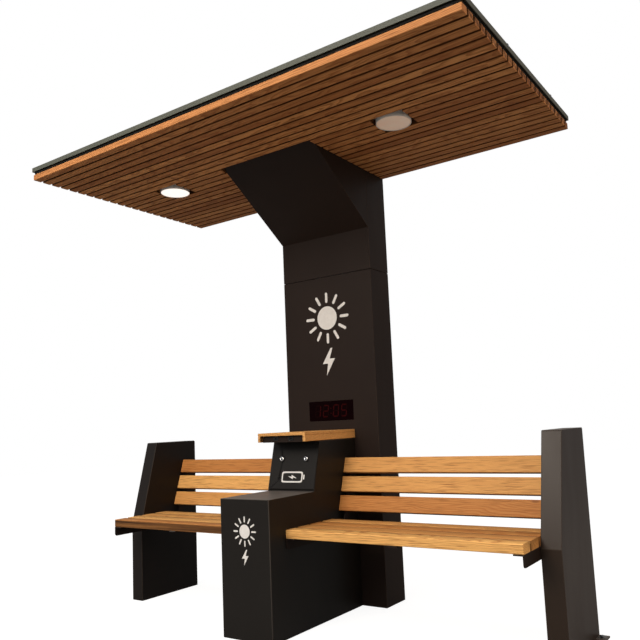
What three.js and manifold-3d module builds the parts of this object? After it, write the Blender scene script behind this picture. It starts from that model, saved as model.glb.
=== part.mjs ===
// Solar charging bench: two slatted benches either side of a steel column that carries a slatted
// sun roof, with a charging console in front of the column. Millimetres, +Z up, X along the bench,
// people sit facing -Y. The origin is on the ground under the middle of the roof.
import * as THREE from "three";
import { mergeVertices } from "three/addons/utils/BufferGeometryUtils.js";
import Module from "manifold-3d";

// Overall sizes
const roofWidth = 2360;
const roofDepth = 1180;
const undersideHeight = 2186;
const columnWidth = 560;
const columnDepth = 178;
const columnOffset = -95;
const seatHeight = 450;
const fit = 0.3;
const overrun = 20;
const weldBite = 1;

// Roof sizes
const rimOverhang = 5;
const rimHeight = 32;
const rimSheet = 3;
const slatCount = 23;
const fullSlatCount = 10;
const slatGap = 11.5;
const slatThickness = 28;
const battenWidth = 30;
const battenThickness = 4;
const beamHeight = 24;
const beamWidth = 60;
const beamWall = 2;
const beamInset = 45;
const railInset = 15;
const deckSheet = 2;
const panelGlass = 5;
const panelGap = 4;
const openingClearance = 2;

// Lamp sizes
const lampSpacingShare = 0.29;
const lampRows = 3;
const lampRadius = 77.5;
const lampProud = 7;
const lampTop = 38;
const lampWall = 3;
const lampRecess = 1;
const lampCutoutClearance = 4;
const diffuserThickness = 3;
const lampChamber = 18;
const strapWidth = 40;
const strapThickness = 2;

// Column sizes
const sheet = 3;
const groundGap = 2;
const seamDrop = 217;
const seamGap = 3;
const kneeRise = 299;
const kneeReach = 434;
const lipWidth = 25;
const displayWidth = 278;
const displayHeight = 103;
const displayBottom = 910;
const displayGlass = 4;
const displayProud = 1;
const displayDepth = 36;
const displayBorder = 8;
const basePlateInset = 15;
const basePlateThickness = 12;
const anchorHoleRadius = 9;
const anchorHoleInset = 30;
const postWidth = 200;
const postDepth = 100;
const postWall = 6;
const flangeThickness = 10;
const gussetThickness = 10;
const gussetSpacing = 140;
const gussetFootLift = 63;
const gussetTipHeight = 14;
const cableRadius = 5;
const cableHoleRadius = 16;
const cableBend = 30;
const cableSteps = 48;
const serviceGateWidth = 250;
const serviceGateHeight = 420;
const serviceGateDrop = 58;

// Console sizes
const consoleWidth = 277;
const consoleReach = 687;
const boxHeight = 589;
const doorFootReach = 362;
const doorHeadReach = 304;
const consoleHeight = 818;
const consoleSheet = 2.5;
const doorThickness = 12;
const doorSkin = 2.5;
const doorGap = 2;
const doorHeadStrip = 10;
const hingeRadius = 3;
const hingeWall = 3;
const hingeLift = 6;
const lockSpacing = 144;
const lockDrop = 84;
const lockFlangeRadius = 16;
const lockFlangeThickness = 4;
const lockBarrelRadius = 10;
const lockCamLength = 66;
const lockCamWidth = 16;
const lockCamThickness = 3;
const lockKeyWidth = 3;
const lockKeyLength = 12;
const lockKeyDepth = 2;
const lockKeepOffset = 1.5;
const keepWidth = 200;
const keepDepth = 16;
const keepThickness = 2;
const keepDrop = 20;

// Charging tray sizes
const trayWidth = 283;
const trayReach = 419;
const trayHeight = 43;
const trayBoard = 14;
const traySide = 16;
const trayGap = 2;
const socketPlateInset = 18;
const socketPlateThickness = 2;
const socketFoot = 14;
const socketSpacing = 90;
const socketWidth = 30;
const socketHeight = 18;
const socketDepth = 24;
const socketBezel = 2;
const portWidth = 12.5;
const portHeight = 5.1;
const portDepth = 16;

// Power equipment sizes
const batteryWidth = 220;
const batteryDepth = 170;
const batteryHeight = 220;
const batteryShelfThickness = 3;
const batteryShelfHeight = 60;
const batteryTerminal = 12;
const batteryTerminalSpacing = 120;
const batterySetback = 60;
const controllerWidth = 180;
const controllerDepth = 50;
const controllerHeight = 120;
const controllerLift = 640;
const controllerFin = 6;
const controllerFinCount = 8;
const controllerBack = 70;
const junctionWidth = 120;
const junctionDepth = 90;
const junctionHeight = 20;

// Bench sizes
const supportSpacing = 2186;
const supportWidth = 78;
const supportSetback = 175;
const supportLean = 110;
const supportBreakHeight = 405;
const supportHeight = 833;
const supportSheet = 4;
const supportCorner = 8;
const footReach = 40;
const footDepth = 70;
const footThickness = 6;
const footHoleRadius = 6;
const seatReach = 579;
const seatDepth = 349;
const seatSlatCount = 4;
const seatSlatGap = 13;
const seatFrontSlatWidth = 68;
const seatSlatThickness = 37;
const seatSlatRounding = 4;
const backSlatCount = 3;
const backSlatWidth = 73.5;
const backSlatGap = 18.5;
const backSlatThickness = 28;
const backSlatRounding = 4;
const backSetback = 57;
const backFootHeight = 481;
const backLean = 17.3;
const endPlateThickness = 5;
const endPlateHeight = 46;
const endPlateFlange = 40;
const endPlateCorner = 12;
const railHeight = 26;
const railWidth = 30;
const railDrop = 6;
const railFrontInset = 180;
const railRearInset = 20;
const bearerWidth = 40;
const backBarDepth = 34;
const backBarThickness = 5;
const backBarInset = 20;

// Places that follow from the sizes
const roofFront = -(roofDepth - columnDepth);
const roofRear = columnDepth;
const slatFront = roofFront + rimOverhang;
const slatRear = roofRear - rimOverhang;
const slatWidth = (slatRear - slatFront - (slatCount - 1) * slatGap) / slatCount;
const slatPitch = slatWidth + slatGap;
const slatEnd = roofWidth / 2 - rimOverhang;
const columnLeft = columnOffset - columnWidth / 2;
const columnRight = columnOffset + columnWidth / 2;
const battenTop = slatThickness + battenThickness;
const beamBottom = battenTop + fit;
const deckBottom = beamBottom + beamHeight + fit;
const deckTop = deckBottom + deckSheet;
const rimTop = battenTop + rimHeight;
const armTop = undersideHeight + slatThickness;
const flangeTop = undersideHeight + battenTop;
const flangeBottom = flangeTop - flangeThickness;
const kneeHeight = undersideHeight - kneeRise;
const seamHeight = kneeHeight - seamDrop;
const gussetFootHeight = kneeHeight + gussetFootLift;
const kneeSlope = kneeRise / kneeReach;
const kneeSheetRise = sheet * Math.hypot(1, kneeSlope);
const postFront = (columnDepth - postDepth) / 2;
const postCentre = columnDepth / 2;
const leadY = postFront + postWall + cableHoleRadius;
const consoleHalf = consoleWidth / 2;
const seatUnderside = seatHeight - seatSlatThickness;
const frameTop = seatUnderside - fit;
const lampCutout = lampRadius + lampCutoutClearance;
const supportInner = supportSpacing / 2;
const supportFootDepth = seatReach - supportSetback;
const supportHeadDepth = supportFootDepth - supportLean;
const backFootReach = seatReach - seatDepth - backSetback;
const lampSpacing = roofWidth * lampSpacingShare;

const wasm = await Module();
wasm.setup();

// Turns a closed geometry into a solid that can be joined and cut.
function solid(geometry) {
  const plain = geometry.index ? geometry.toNonIndexed() : geometry.clone();
  plain.deleteAttribute("normal");
  plain.deleteAttribute("uv");
  const merged = mergeVertices(plain);
  const vertProperties = merged.getAttribute("position").array;
  const triVerts = new Uint32Array(merged.index.array);
  return new wasm.Manifold(new wasm.Mesh({ numProp: 3, vertProperties, triVerts }));
}

function join(solids) {
  return solids.reduce((whole, next) => whole.add(next));
}

function cut(body, tools) {
  return tools.reduce((left, tool) => left.subtract(tool), body);
}

// A box given by its limits along X, Y and Z.
function block([x0, x1], [y0, y1], [z0, z1]) {
  const box = new THREE.BoxGeometry(x1 - x0, y1 - y0, z1 - z0);
  return solid(box.translate((x0 + x1) / 2, (y0 + y1) / 2, (z0 + z1) / 2));
}

function around(centre, width) {
  return [centre - width / 2, centre + width / 2];
}

const alongX = new THREE.Matrix4().makeBasis(
  new THREE.Vector3(0, 1, 0),
  new THREE.Vector3(0, 0, 1),
  new THREE.Vector3(1, 0, 0),
);

// An outline of [y, z] points, or a Shape, pulled along X from x0 to x1.
function prism(outline, [x0, x1]) {
  const shape = Array.isArray(outline)
    ? new THREE.Shape(outline.map(([y, z]) => new THREE.Vector2(y, z)))
    : outline;
  const options = { depth: x1 - x0, bevelEnabled: false, curveSegments: 3 };
  const geometry = new THREE.ExtrudeGeometry(shape, options).applyMatrix4(alongX);
  return solid(geometry.translate(x0, 0, 0));
}

// A rectangle with round corners, drawn from its lower corner.
function roundedRectangle(y0, z0, width, height, radius) {
  const shape = new THREE.Shape();
  shape.absarc(y0 + width - radius, z0 + radius, radius, -Math.PI / 2, 0);
  shape.absarc(y0 + width - radius, z0 + height - radius, radius, 0, Math.PI / 2);
  shape.absarc(y0 + radius, z0 + height - radius, radius, Math.PI / 2, Math.PI);
  shape.absarc(y0 + radius, z0 + radius, radius, Math.PI, 1.5 * Math.PI);
  return shape;
}

// A round bar along an axis, from a point on its axis.
function rod(axis, [x, y, z], length, radius, sides = 16) {
  const bar = new THREE.CylinderGeometry(radius, radius, length, sides).translate(0, length / 2, 0);
  if (axis === "x") bar.rotateZ(-Math.PI / 2);
  if (axis === "z") bar.rotateX(Math.PI / 2);
  return solid(bar.translate(x, y, z));
}

function material(color, roughness, metalness) {
  return new THREE.MeshStandardMaterial({ color, roughness, metalness });
}

const paint = material("#2b2725", 0.55, 0.2);
const rimPaint = material("#343634", 0.5, 0.3);
const steel = material("#8d9196", 0.45, 0.8);
const chrome = material("#d9dcdf", 0.15, 1);
const teak = material("#c98d4f", 0.6, 0);
const roofWood = material("#8a6138", 0.65, 0);
const trayWood = material("#b98347", 0.55, 0);
const darkPlastic = material("#17181a", 0.5, 0);
const redGlass = material("#2a0b0a", 0.15, 0);
const solarGlass = material("#0d1526", 0.1, 0.1);
const frosted = material("#ece6da", 0.4, 0);
const batteryCase = material("#3a3d40", 0.6, 0);

// A named mesh made from a solid, added to its group.
function piece(name, body, finish, parent) {
  const { vertProperties, triVerts } = body.getMesh();
  const geometry = new THREE.BufferGeometry();
  geometry.setAttribute("position", new THREE.BufferAttribute(vertProperties, 3));
  geometry.setIndex(new THREE.BufferAttribute(triVerts, 1));
  geometry.computeVertexNormals();
  const mesh = new THREE.Mesh(geometry, finish);
  mesh.name = name;
  parent.add(mesh);
}

// Everything stands in one frame whose Y is zero at the column's front face.
const assembly = new THREE.Group();
assembly.position.set(0, roofDepth / 2 - columnDepth, 0);
const bench = new THREE.Group();
bench.add(assembly);

function group(x, y, z, parent = assembly) {
  const made = new THREE.Group();
  made.position.set(x, y, z);
  parent.add(made);
  return made;
}

function buildColumn() {
  const column = group(columnOffset, 0, 0);
  const half = columnWidth / 2;
  const inner = half - sheet;
  const coverFront = columnDepth - sheet;
  const lipY = [coverFront - fit - sheet, coverFront - fit];

  // A folded front and two sides, with a lip inside each rear edge for the cover's screws.
  function shell(z) {
    const outside = block([-half, half], [0, columnDepth], z);
    const hollowZ = [z[0] - overrun, z[1] + overrun];
    const hollow = block([-inner, inner], [sheet, columnDepth + overrun], hollowZ);
    const lips = [-1, 1].map((side) =>
      block(around(side * (inner - lipWidth / 2 + weldBite), lipWidth), lipY, z),
    );
    return join([cut(outside, [hollow]), ...lips]);
  }

  const displayX = around(0, displayWidth);
  const displayZ = [displayBottom, displayBottom + displayHeight];
  const cableZ = around(controllerLift + controllerHeight / 2, 2 * cableHoleRadius);
  const throughFront = [-overrun, sheet + overrun];
  // Leads and hands reach the post from the console through the lower gate.
  const serviceTop = consoleHeight - serviceGateDrop;
  const lower = cut(shell([groundGap, seamHeight - seamGap / 2]), [
    block(displayX, throughFront, displayZ),
    block(around(0, serviceGateWidth), throughFront, [serviceTop - serviceGateHeight, serviceTop]),
  ]);
  piece("column_shell_lower", lower, paint, column);

  const armGate = block([-inner, inner], throughFront, [kneeHeight + kneeSheetRise, armTop + overrun]);
  piece("column_shell_upper", cut(shell([seamHeight + seamGap / 2, armTop]), [armGate]), paint, column);

  const cover = block([-inner + fit, inner - fit], [coverFront, columnDepth], [groundGap, armTop]);
  piece("column_rear_cover", cover, paint, column);

  const plateX = [-half + basePlateInset, half - basePlateInset];
  const plateY = [basePlateInset, columnDepth - basePlateInset];
  const anchors = [-1, 1].flatMap((side) =>
    [plateY[0] + anchorHoleInset, plateY[1] - anchorHoleInset].map((y) =>
      rod(
        "z",
        [side * (plateX[1] - anchorHoleInset), y, -overrun],
        basePlateThickness + 2 * overrun,
        anchorHoleRadius,
        12,
      ),
    ),
  );
  const plate = cut(block(plateX, plateY, [0, basePlateThickness]), anchors);
  piece("base_plate", plate, steel, column);

  const postX = around(0, postWidth);
  const postY = around(postCentre, postDepth);
  const postZ = [basePlateThickness + fit, flangeBottom - fit];
  const bore = block(
    around(0, postWidth - 2 * postWall),
    around(postCentre, postDepth - 2 * postWall),
    [postZ[0] - overrun, postZ[1] + overrun],
  );
  const cableGate = block(around(0, 2 * cableHoleRadius), around(postFront, 2 * overrun), cableZ);
  piece("column_post", cut(block(postX, postY, postZ), [bore, cableGate]), steel, column);

  // The bracket bolts to the post's face and carries the roof's beams on its flange.
  const slopeAt = (z) => -(z - kneeHeight - kneeSheetRise) / kneeSlope;
  const bracketClearance = sheet + fit;
  const flangeFront = slopeAt(flangeBottom) + bracketClearance;
  const flange = block(
    [-inner + bracketClearance, inner - bracketClearance],
    [flangeFront, lipY[0] - bracketClearance],
    [flangeBottom, flangeTop],
  );
  const backPlate = block(
    around(0, gussetSpacing + 2 * gussetThickness),
    [postFront - fit - gussetThickness, postFront - fit],
    [gussetFootHeight, flangeBottom + weldBite],
  );
  const tipHeight = flangeBottom - gussetTipHeight;
  const gussetFront = slopeAt(tipHeight) + gussetThickness;
  const gussetOutline = [
    [postFront - fit - weldBite, gussetFootHeight],
    [postFront - fit - weldBite, flangeBottom + weldBite],
    [gussetFront, flangeBottom + weldBite],
    [gussetFront, tipHeight],
    [slopeAt(gussetFootHeight) + gussetThickness, gussetFootHeight],
  ];
  const gussets = [-1, 1].map((side) =>
    prism(gussetOutline, around((side * gussetSpacing) / 2, gussetThickness)),
  );
  const cableHole = rod(
    "z",
    [0, leadY, flangeBottom - overrun],
    flangeThickness + 2 * overrun,
    cableHoleRadius,
    12,
  );
  const bracket = cut(join([flange, backPlate, ...gussets]), [cableHole]);
  piece("arm_bracket", bracket, steel, column);

  // The knee in front of the upper shell rises through the opening in the slats.
  const topReach = -(armTop - kneeHeight) / kneeSlope;
  const knee = [
    [-fit, kneeHeight],
    [-fit, armTop],
    [topReach, armTop],
  ];
  const kneeHollow = [
    [overrun, kneeHeight + kneeSheetRise - overrun * kneeSlope],
    [overrun, armTop + overrun],
    [topReach - overrun / kneeSlope, armTop + overrun + kneeSheetRise],
  ];
  const armCover = cut(prism(knee, [-half, half]), [prism(kneeHollow, [-inner, inner])]);
  piece("arm_cover", armCover, paint, column);

  const displayWindow = block(
    around(0, displayWidth - 2 * fit),
    [-displayProud, displayGlass - displayProud],
    [displayZ[0] + fit, displayZ[1] - fit],
  );
  piece("display_window", displayWindow, redGlass, column);
  const moduleFront = displayGlass - displayProud + fit;
  const displayModule = block(
    around(0, displayWidth + 2 * displayBorder),
    [moduleFront, displayDepth],
    [displayZ[0] - displayBorder, displayZ[1] + displayBorder],
  );
  piece("display_module", displayModule, darkPlastic, column);

  // The lead from the roof runs down inside the post and out to the charge controller.
  const leadTop = flangeTop + fit;
  const leadZ = (cableZ[0] + cableZ[1]) / 2;
  const lead = new THREE.CurvePath();
  const corner = new THREE.Vector3(0, leadY, leadZ);
  const down = new THREE.Vector3(0, leadY, leadZ + cableBend);
  const out = new THREE.Vector3(0, leadY - cableBend, leadZ);
  lead.add(new THREE.LineCurve3(new THREE.Vector3(0, leadY, leadTop), down));
  lead.add(new THREE.QuadraticBezierCurve3(down, corner, out));
  lead.add(new THREE.LineCurve3(out, new THREE.Vector3(0, -controllerBack + fit, leadZ)));
  const section = new THREE.Shape().absarc(0, 0, cableRadius, 0, 2 * Math.PI);
  const options = { steps: cableSteps, extrudePath: lead, curveSegments: 4 };
  piece("panel_lead", solid(new THREE.ExtrudeGeometry(section, options)), darkPlastic, column);
  return column;
}

function buildConsole(column) {
  const t = consoleSheet;
  const outline = [
    [-consoleReach, 0],
    [-consoleReach, boxHeight],
    [-doorFootReach, boxHeight],
    [-doorHeadReach, consoleHeight],
    [-fit, consoleHeight],
    [-fit, 0],
  ];
  const hollow = [
    [-consoleReach + t, t],
    [-consoleReach + t, boxHeight - t],
    [-doorFootReach + t, boxHeight - t],
    [-doorHeadReach + t, consoleHeight - t],
    [overrun, consoleHeight - t],
    [overrun, t],
  ];
  const innerX = [-consoleHalf + t, consoleHalf - t];
  const shell = cut(prism(outline, [-consoleHalf, consoleHalf]), [prism(hollow, innerX)]);

  // The door leans back with the console's face: its group's Z runs up the slope.
  const lean = Math.atan2(doorFootReach - doorHeadReach, consoleHeight - boxHeight);
  const slope = Math.hypot(doorFootReach - doorHeadReach, consoleHeight - boxHeight);
  const doorTop = slope - doorHeadStrip;
  const leaned = group(0, -doorFootReach, boxHeight, column);
  leaned.rotation.x = -lean;
  const toConsole = new THREE.Matrix4().makeRotationX(-lean);
  toConsole.setPosition(0, -doorFootReach, boxHeight);
  const place = (body) => body.transform(toConsole.elements);

  const gate = block(innerX, [-overrun, doorThickness + doorGap], [t + doorGap, doorTop]);
  const keep = block(
    around(0, keepWidth),
    [weldBite, keepDepth],
    [doorTop + doorGap, doorTop + doorGap + keepThickness],
  );
  const keepLip = block(
    around(0, keepWidth),
    [keepDepth - keepThickness, keepDepth],
    [doorTop + doorGap - keepDrop, doorTop + doorGap + weldBite],
  );
  piece("console_shell", join([cut(shell, [place(gate)]), place(join([keep, keepLip]))]), paint, column);

  const hingeY = doorThickness / 2;
  const hingeZ = doorThickness / 2 + hingeLift;
  const doorHalf = consoleHalf - t - doorGap;
  const hingeFrom = (x) => [x, hingeY, hingeZ];
  const slab = block([-doorHalf, doorHalf], [0, doorThickness], [hingeZ, doorTop - doorGap]);
  const pocket = block(
    [-doorHalf + doorSkin, doorHalf - doorSkin],
    [doorSkin, doorThickness + overrun],
    [hingeZ + hingeRadius + hingeWall + doorSkin, doorTop - doorGap - doorSkin],
  );
  const knuckle = rod("x", hingeFrom(-doorHalf), 2 * doorHalf, doorThickness / 2);
  const pinHole = rod("x", hingeFrom(-doorHalf - overrun), 2 * (doorHalf + overrun), hingeRadius + fit);
  const lockZ = slope - lockDrop;
  const lockX = [-1, 1].map((side) => (side * lockSpacing) / 2);
  const lockHoles = lockX.map((x) =>
    rod("y", [x, -overrun, lockZ], doorThickness + 2 * overrun, lockBarrelRadius + fit),
  );
  const door = cut(join([cut(slab, [pocket]), knuckle]), [pinHole, ...lockHoles]);
  piece("console_door", door, paint, leaned);
  const pinHalf = consoleHalf - t - fit;
  piece("door_hinge_pin", rod("x", hingeFrom(-pinHalf), 2 * pinHalf, hingeRadius), steel, leaned);

  // Quarter-turn locks, drawn undone: a turn brings each cam up behind the keep's lip.
  const camFront = keepDepth + lockKeepOffset;
  const barrelBack = camFront + lockCamThickness;
  ["left", "right"].forEach((side, index) => {
    const x = lockX[index];
    const flange = rod("y", [x, -fit - lockFlangeThickness, lockZ], lockFlangeThickness, lockFlangeRadius);
    const barrelLength = barrelBack + fit + weldBite;
    const barrel = rod("y", [x, -fit - weldBite, lockZ], barrelLength, lockBarrelRadius);
    const camTip = x - Math.sign(x) * lockCamLength;
    const cam = block(
      [Math.min(x, camTip), Math.max(x, camTip)],
      [camFront, camFront + lockCamThickness],
      around(lockZ, lockCamWidth),
    );
    const keyway = block(
      around(x, lockKeyLength),
      [-fit - lockFlangeThickness - overrun, -fit - lockFlangeThickness + lockKeyDepth],
      around(lockZ, lockKeyWidth),
    );
    piece("lock_" + side, cut(join([flange, barrel, cam]), [keyway]), chrome, leaned);
  });

  const shelfX = [-consoleHalf + t + fit, consoleHalf - t - fit];
  const shelfY = [-consoleReach + t + fit, -consoleReach + t + fit + batteryDepth + 2 * batterySetback];
  const shelfTop = batteryShelfHeight + batteryShelfThickness;
  const shelfTopPlate = block(shelfX, shelfY, [batteryShelfHeight, shelfTop]);
  const shelfLegs = [
    [shelfX[0], shelfX[0] + batteryShelfThickness],
    [shelfX[1] - batteryShelfThickness, shelfX[1]],
  ].map((x) => block(x, shelfY, [t + fit, batteryShelfHeight + weldBite]));
  piece("battery_shelf", join([shelfTopPlate, ...shelfLegs]), steel, column);
  const batteryZ = shelfTop + fit;
  const batteryY = (shelfY[0] + shelfY[1]) / 2;
  const caseBlock = block(
    around(0, batteryWidth),
    around(batteryY, batteryDepth),
    [batteryZ, batteryZ + batteryHeight],
  );
  const terminals = [-1, 1].map((side) =>
    rod(
      "z",
      [(side * batteryTerminalSpacing) / 2, batteryY, batteryZ + batteryHeight - weldBite],
      batteryTerminal + weldBite,
      batteryTerminal / 2,
      12,
    ),
  );
  piece("battery", join([caseBlock, ...terminals]), batteryCase, column);

  const finPitch = controllerWidth / controllerFinCount;
  const controllerY = [-controllerBack - controllerDepth, -controllerBack];
  const controllerZ = [controllerLift, controllerLift + controllerHeight];
  const finSlots = Array.from({ length: controllerFinCount }, (_, i) =>
    block(
      around((i + 0.5) * finPitch - controllerWidth / 2, controllerFin),
      [controllerY[0] - overrun, controllerY[0] + controllerFin],
      [controllerZ[0] - overrun, controllerZ[1] + overrun],
    ),
  );
  const controllerBody = block(around(0, controllerWidth), controllerY, controllerZ);
  const controllerFeet = block(
    [-consoleHalf + t + fit, consoleHalf - t - fit],
    [controllerY[1] - batteryShelfThickness, controllerY[1]],
    around(controllerZ[0] + controllerFin, 2 * controllerFin),
  );
  const controller = join([cut(controllerBody, finSlots), controllerFeet]);
  piece("charge_controller", controller, darkPlastic, column);
}

function buildTray(column) {
  const bottom = consoleHeight + trayGap;
  const top = bottom + trayHeight;
  const boardBottom = top - trayBoard;
  const half = trayWidth / 2;
  const trayY = [-trayReach, -fit];
  piece("tray_top", block([-half, half], trayY, [boardBottom, top]), trayWood, column);
  const cheekZ = [bottom, boardBottom - fit];
  piece("tray_side_left", block([-half, -half + traySide], trayY, cheekZ), trayWood, column);
  piece("tray_side_right", block([half - traySide, half], trayY, cheekZ), trayWood, column);

  // A folded plate closes the front between the sides and carries the sockets.
  const plateX = [-half + traySide + fit, half - traySide - fit];
  const plateFront = -trayReach + socketPlateInset;
  const plateBack = plateFront + socketPlateThickness;
  const plateZ = [consoleHeight + fit, boardBottom - fit];
  const face = block(plateX, [plateFront, plateBack], plateZ);
  const footDeep = trayReach - socketPlateInset - doorHeadReach + socketFoot;
  const foot = block(
    plateX,
    [plateFront, plateFront + footDeep],
    [plateZ[0], plateZ[0] + socketPlateThickness],
  );
  const socketX = [-1, 1].map((side) => (side * socketSpacing) / 2);
  const socketZ = (plateZ[0] + plateZ[1]) / 2 + socketPlateThickness / 2;
  const holes = socketX.map((x) =>
    block(
      around(x, socketWidth + 2 * fit),
      [plateFront - overrun, plateBack + fit],
      around(socketZ, socketHeight + 2 * fit),
    ),
  );
  piece("socket_plate", cut(join([face, foot]), holes), paint, column);
  ["left", "right"].forEach((side, index) => {
    const x = socketX[index];
    const front = plateFront - socketBezel;
    const body = block(around(x, socketWidth), [front, front + socketDepth], around(socketZ, socketHeight));
    const port = block(
      around(x, portWidth),
      [front - overrun, front + portDepth],
      around(socketZ, portHeight),
    );
    piece("usb_socket_" + side, cut(body, [port]), darkPlastic, column);
  });
}

function buildRoof() {
  const roof = group(0, 0, undersideHeight);
  const railOuter = slatEnd - beamWidth / 2 - railInset;
  const lampX = [-1, 1].map((side) => columnOffset + side * lampSpacing);
  const lampY = slatFront + (fullSlatCount + lampRows / 2) * slatPitch - slatGap / 2;
  const lampSlots = lampX.map((x) =>
    block(
      around(x, 2 * lampCutout),
      around(lampY, lampRows * slatPitch),
      [-overrun, slatThickness + overrun],
    ),
  );
  const battensX = [
    -railOuter,
    ...lampX.flatMap((x) => [x - lampCutout - battenWidth, x + lampCutout + battenWidth]),
    columnLeft - openingClearance - battenWidth / 2,
    columnRight + openingClearance + battenWidth / 2,
    railOuter,
  ];

  // Slats of one panel, joined by the battens that hang them from the beams.
  function slatPanel(firstRow, rowCount, x) {
    const rows = Array.from({ length: rowCount }, (_, i) => {
      const front = slatFront + (firstRow + i) * slatPitch;
      return block(x, [front, front + slatWidth], [0, slatThickness]);
    });
    const panelY = [
      slatFront + firstRow * slatPitch,
      slatFront + (firstRow + rowCount) * slatPitch - slatGap,
    ];
    const battens = battensX
      .filter((centre) => centre > x[0] && centre < x[1])
      .map((centre) =>
        block(around(centre, battenWidth), panelY, [slatThickness - weldBite, battenTop]),
      );
    return cut(join([...rows, ...battens]), lampSlots);
  }

  const sideRows = slatCount - fullSlatCount;
  const leftX = [-slatEnd, columnLeft - openingClearance];
  const rightX = [columnRight + openingClearance, slatEnd];
  piece("roof_slats_front", slatPanel(0, fullSlatCount, [-slatEnd, slatEnd]), roofWood, roof);
  piece("roof_slats_left", slatPanel(fullSlatCount, sideRows, leftX), roofWood, roof);
  piece("roof_slats_right", slatPanel(fullSlatCount, sideRows, rightX), roofWood, roof);

  // Hollow beams above the battens: two along the roof and four across it.
  const beamZ = [beamBottom, beamBottom + beamHeight];
  const boreZ = [beamZ[0] + beamWall, beamZ[1] - beamWall];
  function beam(name, x, y, runsAlongX) {
    const shrink = (range, open) =>
      open ? [range[0] - overrun, range[1] + overrun] : [range[0] + beamWall, range[1] - beamWall];
    const bore = block(shrink(x, runsAlongX), shrink(y, !runsAlongX), boreZ);
    piece(name, cut(block(x, y, beamZ), [bore]), steel, roof);
  }
  const frontY = [roofFront + beamInset, roofFront + beamInset + beamWidth];
  const rearY = [roofRear - beamInset - beamWidth, roofRear - beamInset];
  const betweenY = [frontY[1] + fit, rearY[0] - fit];
  beam("roof_beam_front", [-railOuter - beamWidth / 2, railOuter + beamWidth / 2], frontY, true);
  beam("roof_beam_rear", [-railOuter - beamWidth / 2, railOuter + beamWidth / 2], rearY, true);
  const railsX = [-railOuter, columnLeft, columnRight, railOuter];
  const railNames = ["outer_left", "inner_left", "inner_right", "outer_right"];
  railNames.forEach((name, i) => beam("roof_rail_" + name, around(railsX[i], beamWidth), betweenY, false));

  // The edge tray: a deck sheet with a rim that stands above and below it.
  const half = roofWidth / 2;
  const inner = half - rimSheet;
  const innerY = [roofFront + rimSheet, roofRear - rimSheet];
  const trayBody = cut(block([-half, half], [roofFront, roofRear], [battenTop, rimTop]), [
    block([-inner, inner], innerY, [battenTop - overrun, deckBottom]),
    block([-inner, inner], innerY, [deckTop, rimTop + overrun]),
  ]);
  piece("roof_tray", trayBody, rimPaint, roof);
  const glassZ = [deckTop + fit, deckTop + fit + panelGlass];
  const glassY = [innerY[0] + panelGap, innerY[1] - panelGap];
  piece("solar_panel_left", block([-inner + panelGap, -panelGap / 2], glassY, glassZ), solarGlass, roof);
  piece("solar_panel_right", block([panelGap / 2, inner - panelGap], glassY, glassZ), solarGlass, roof);

  const junctionRear = rearY[0] - fit;
  const junctionBottom = battenTop + 2 * fit;
  const junction = block(
    around(columnOffset, junctionWidth),
    [junctionRear - junctionDepth, junctionRear],
    [junctionBottom, junctionBottom + junctionHeight],
  );
  piece("junction_box", junction, darkPlastic, roof);

  ["left", "right"].forEach((side, index) => {
    const centre = [lampX[index], lampY];
    const outer = lampRadius;
    const bore = outer - lampWall;
    const drum = new THREE.LatheGeometry(
      [
        [0, lampTop],
        [outer, lampTop],
        [outer, -lampProud],
        [bore, -lampProud],
        [bore, lampChamber],
        [0, lampChamber],
      ]
        .reverse()
        .map(([r, z]) => new THREE.Vector2(r, z)),
      32,
    );
    drum.rotateX(Math.PI / 2).translate(centre[0], centre[1], 0);
    const strap = block(
      around(centre[0], 2 * (lampCutout + battenWidth)),
      around(centre[1], strapWidth),
      [battenTop + fit, battenTop + fit + strapThickness],
    );
    piece("lamp_housing_" + side, join([solid(drum), strap]), frosted, roof);
    const diffuser = rod(
      "z",
      [centre[0], centre[1], -lampProud + lampRecess],
      diffuserThickness,
      bore - fit,
      32,
    );
    piece("lamp_diffuser_" + side, diffuser, frosted, roof);
  });
}

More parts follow.
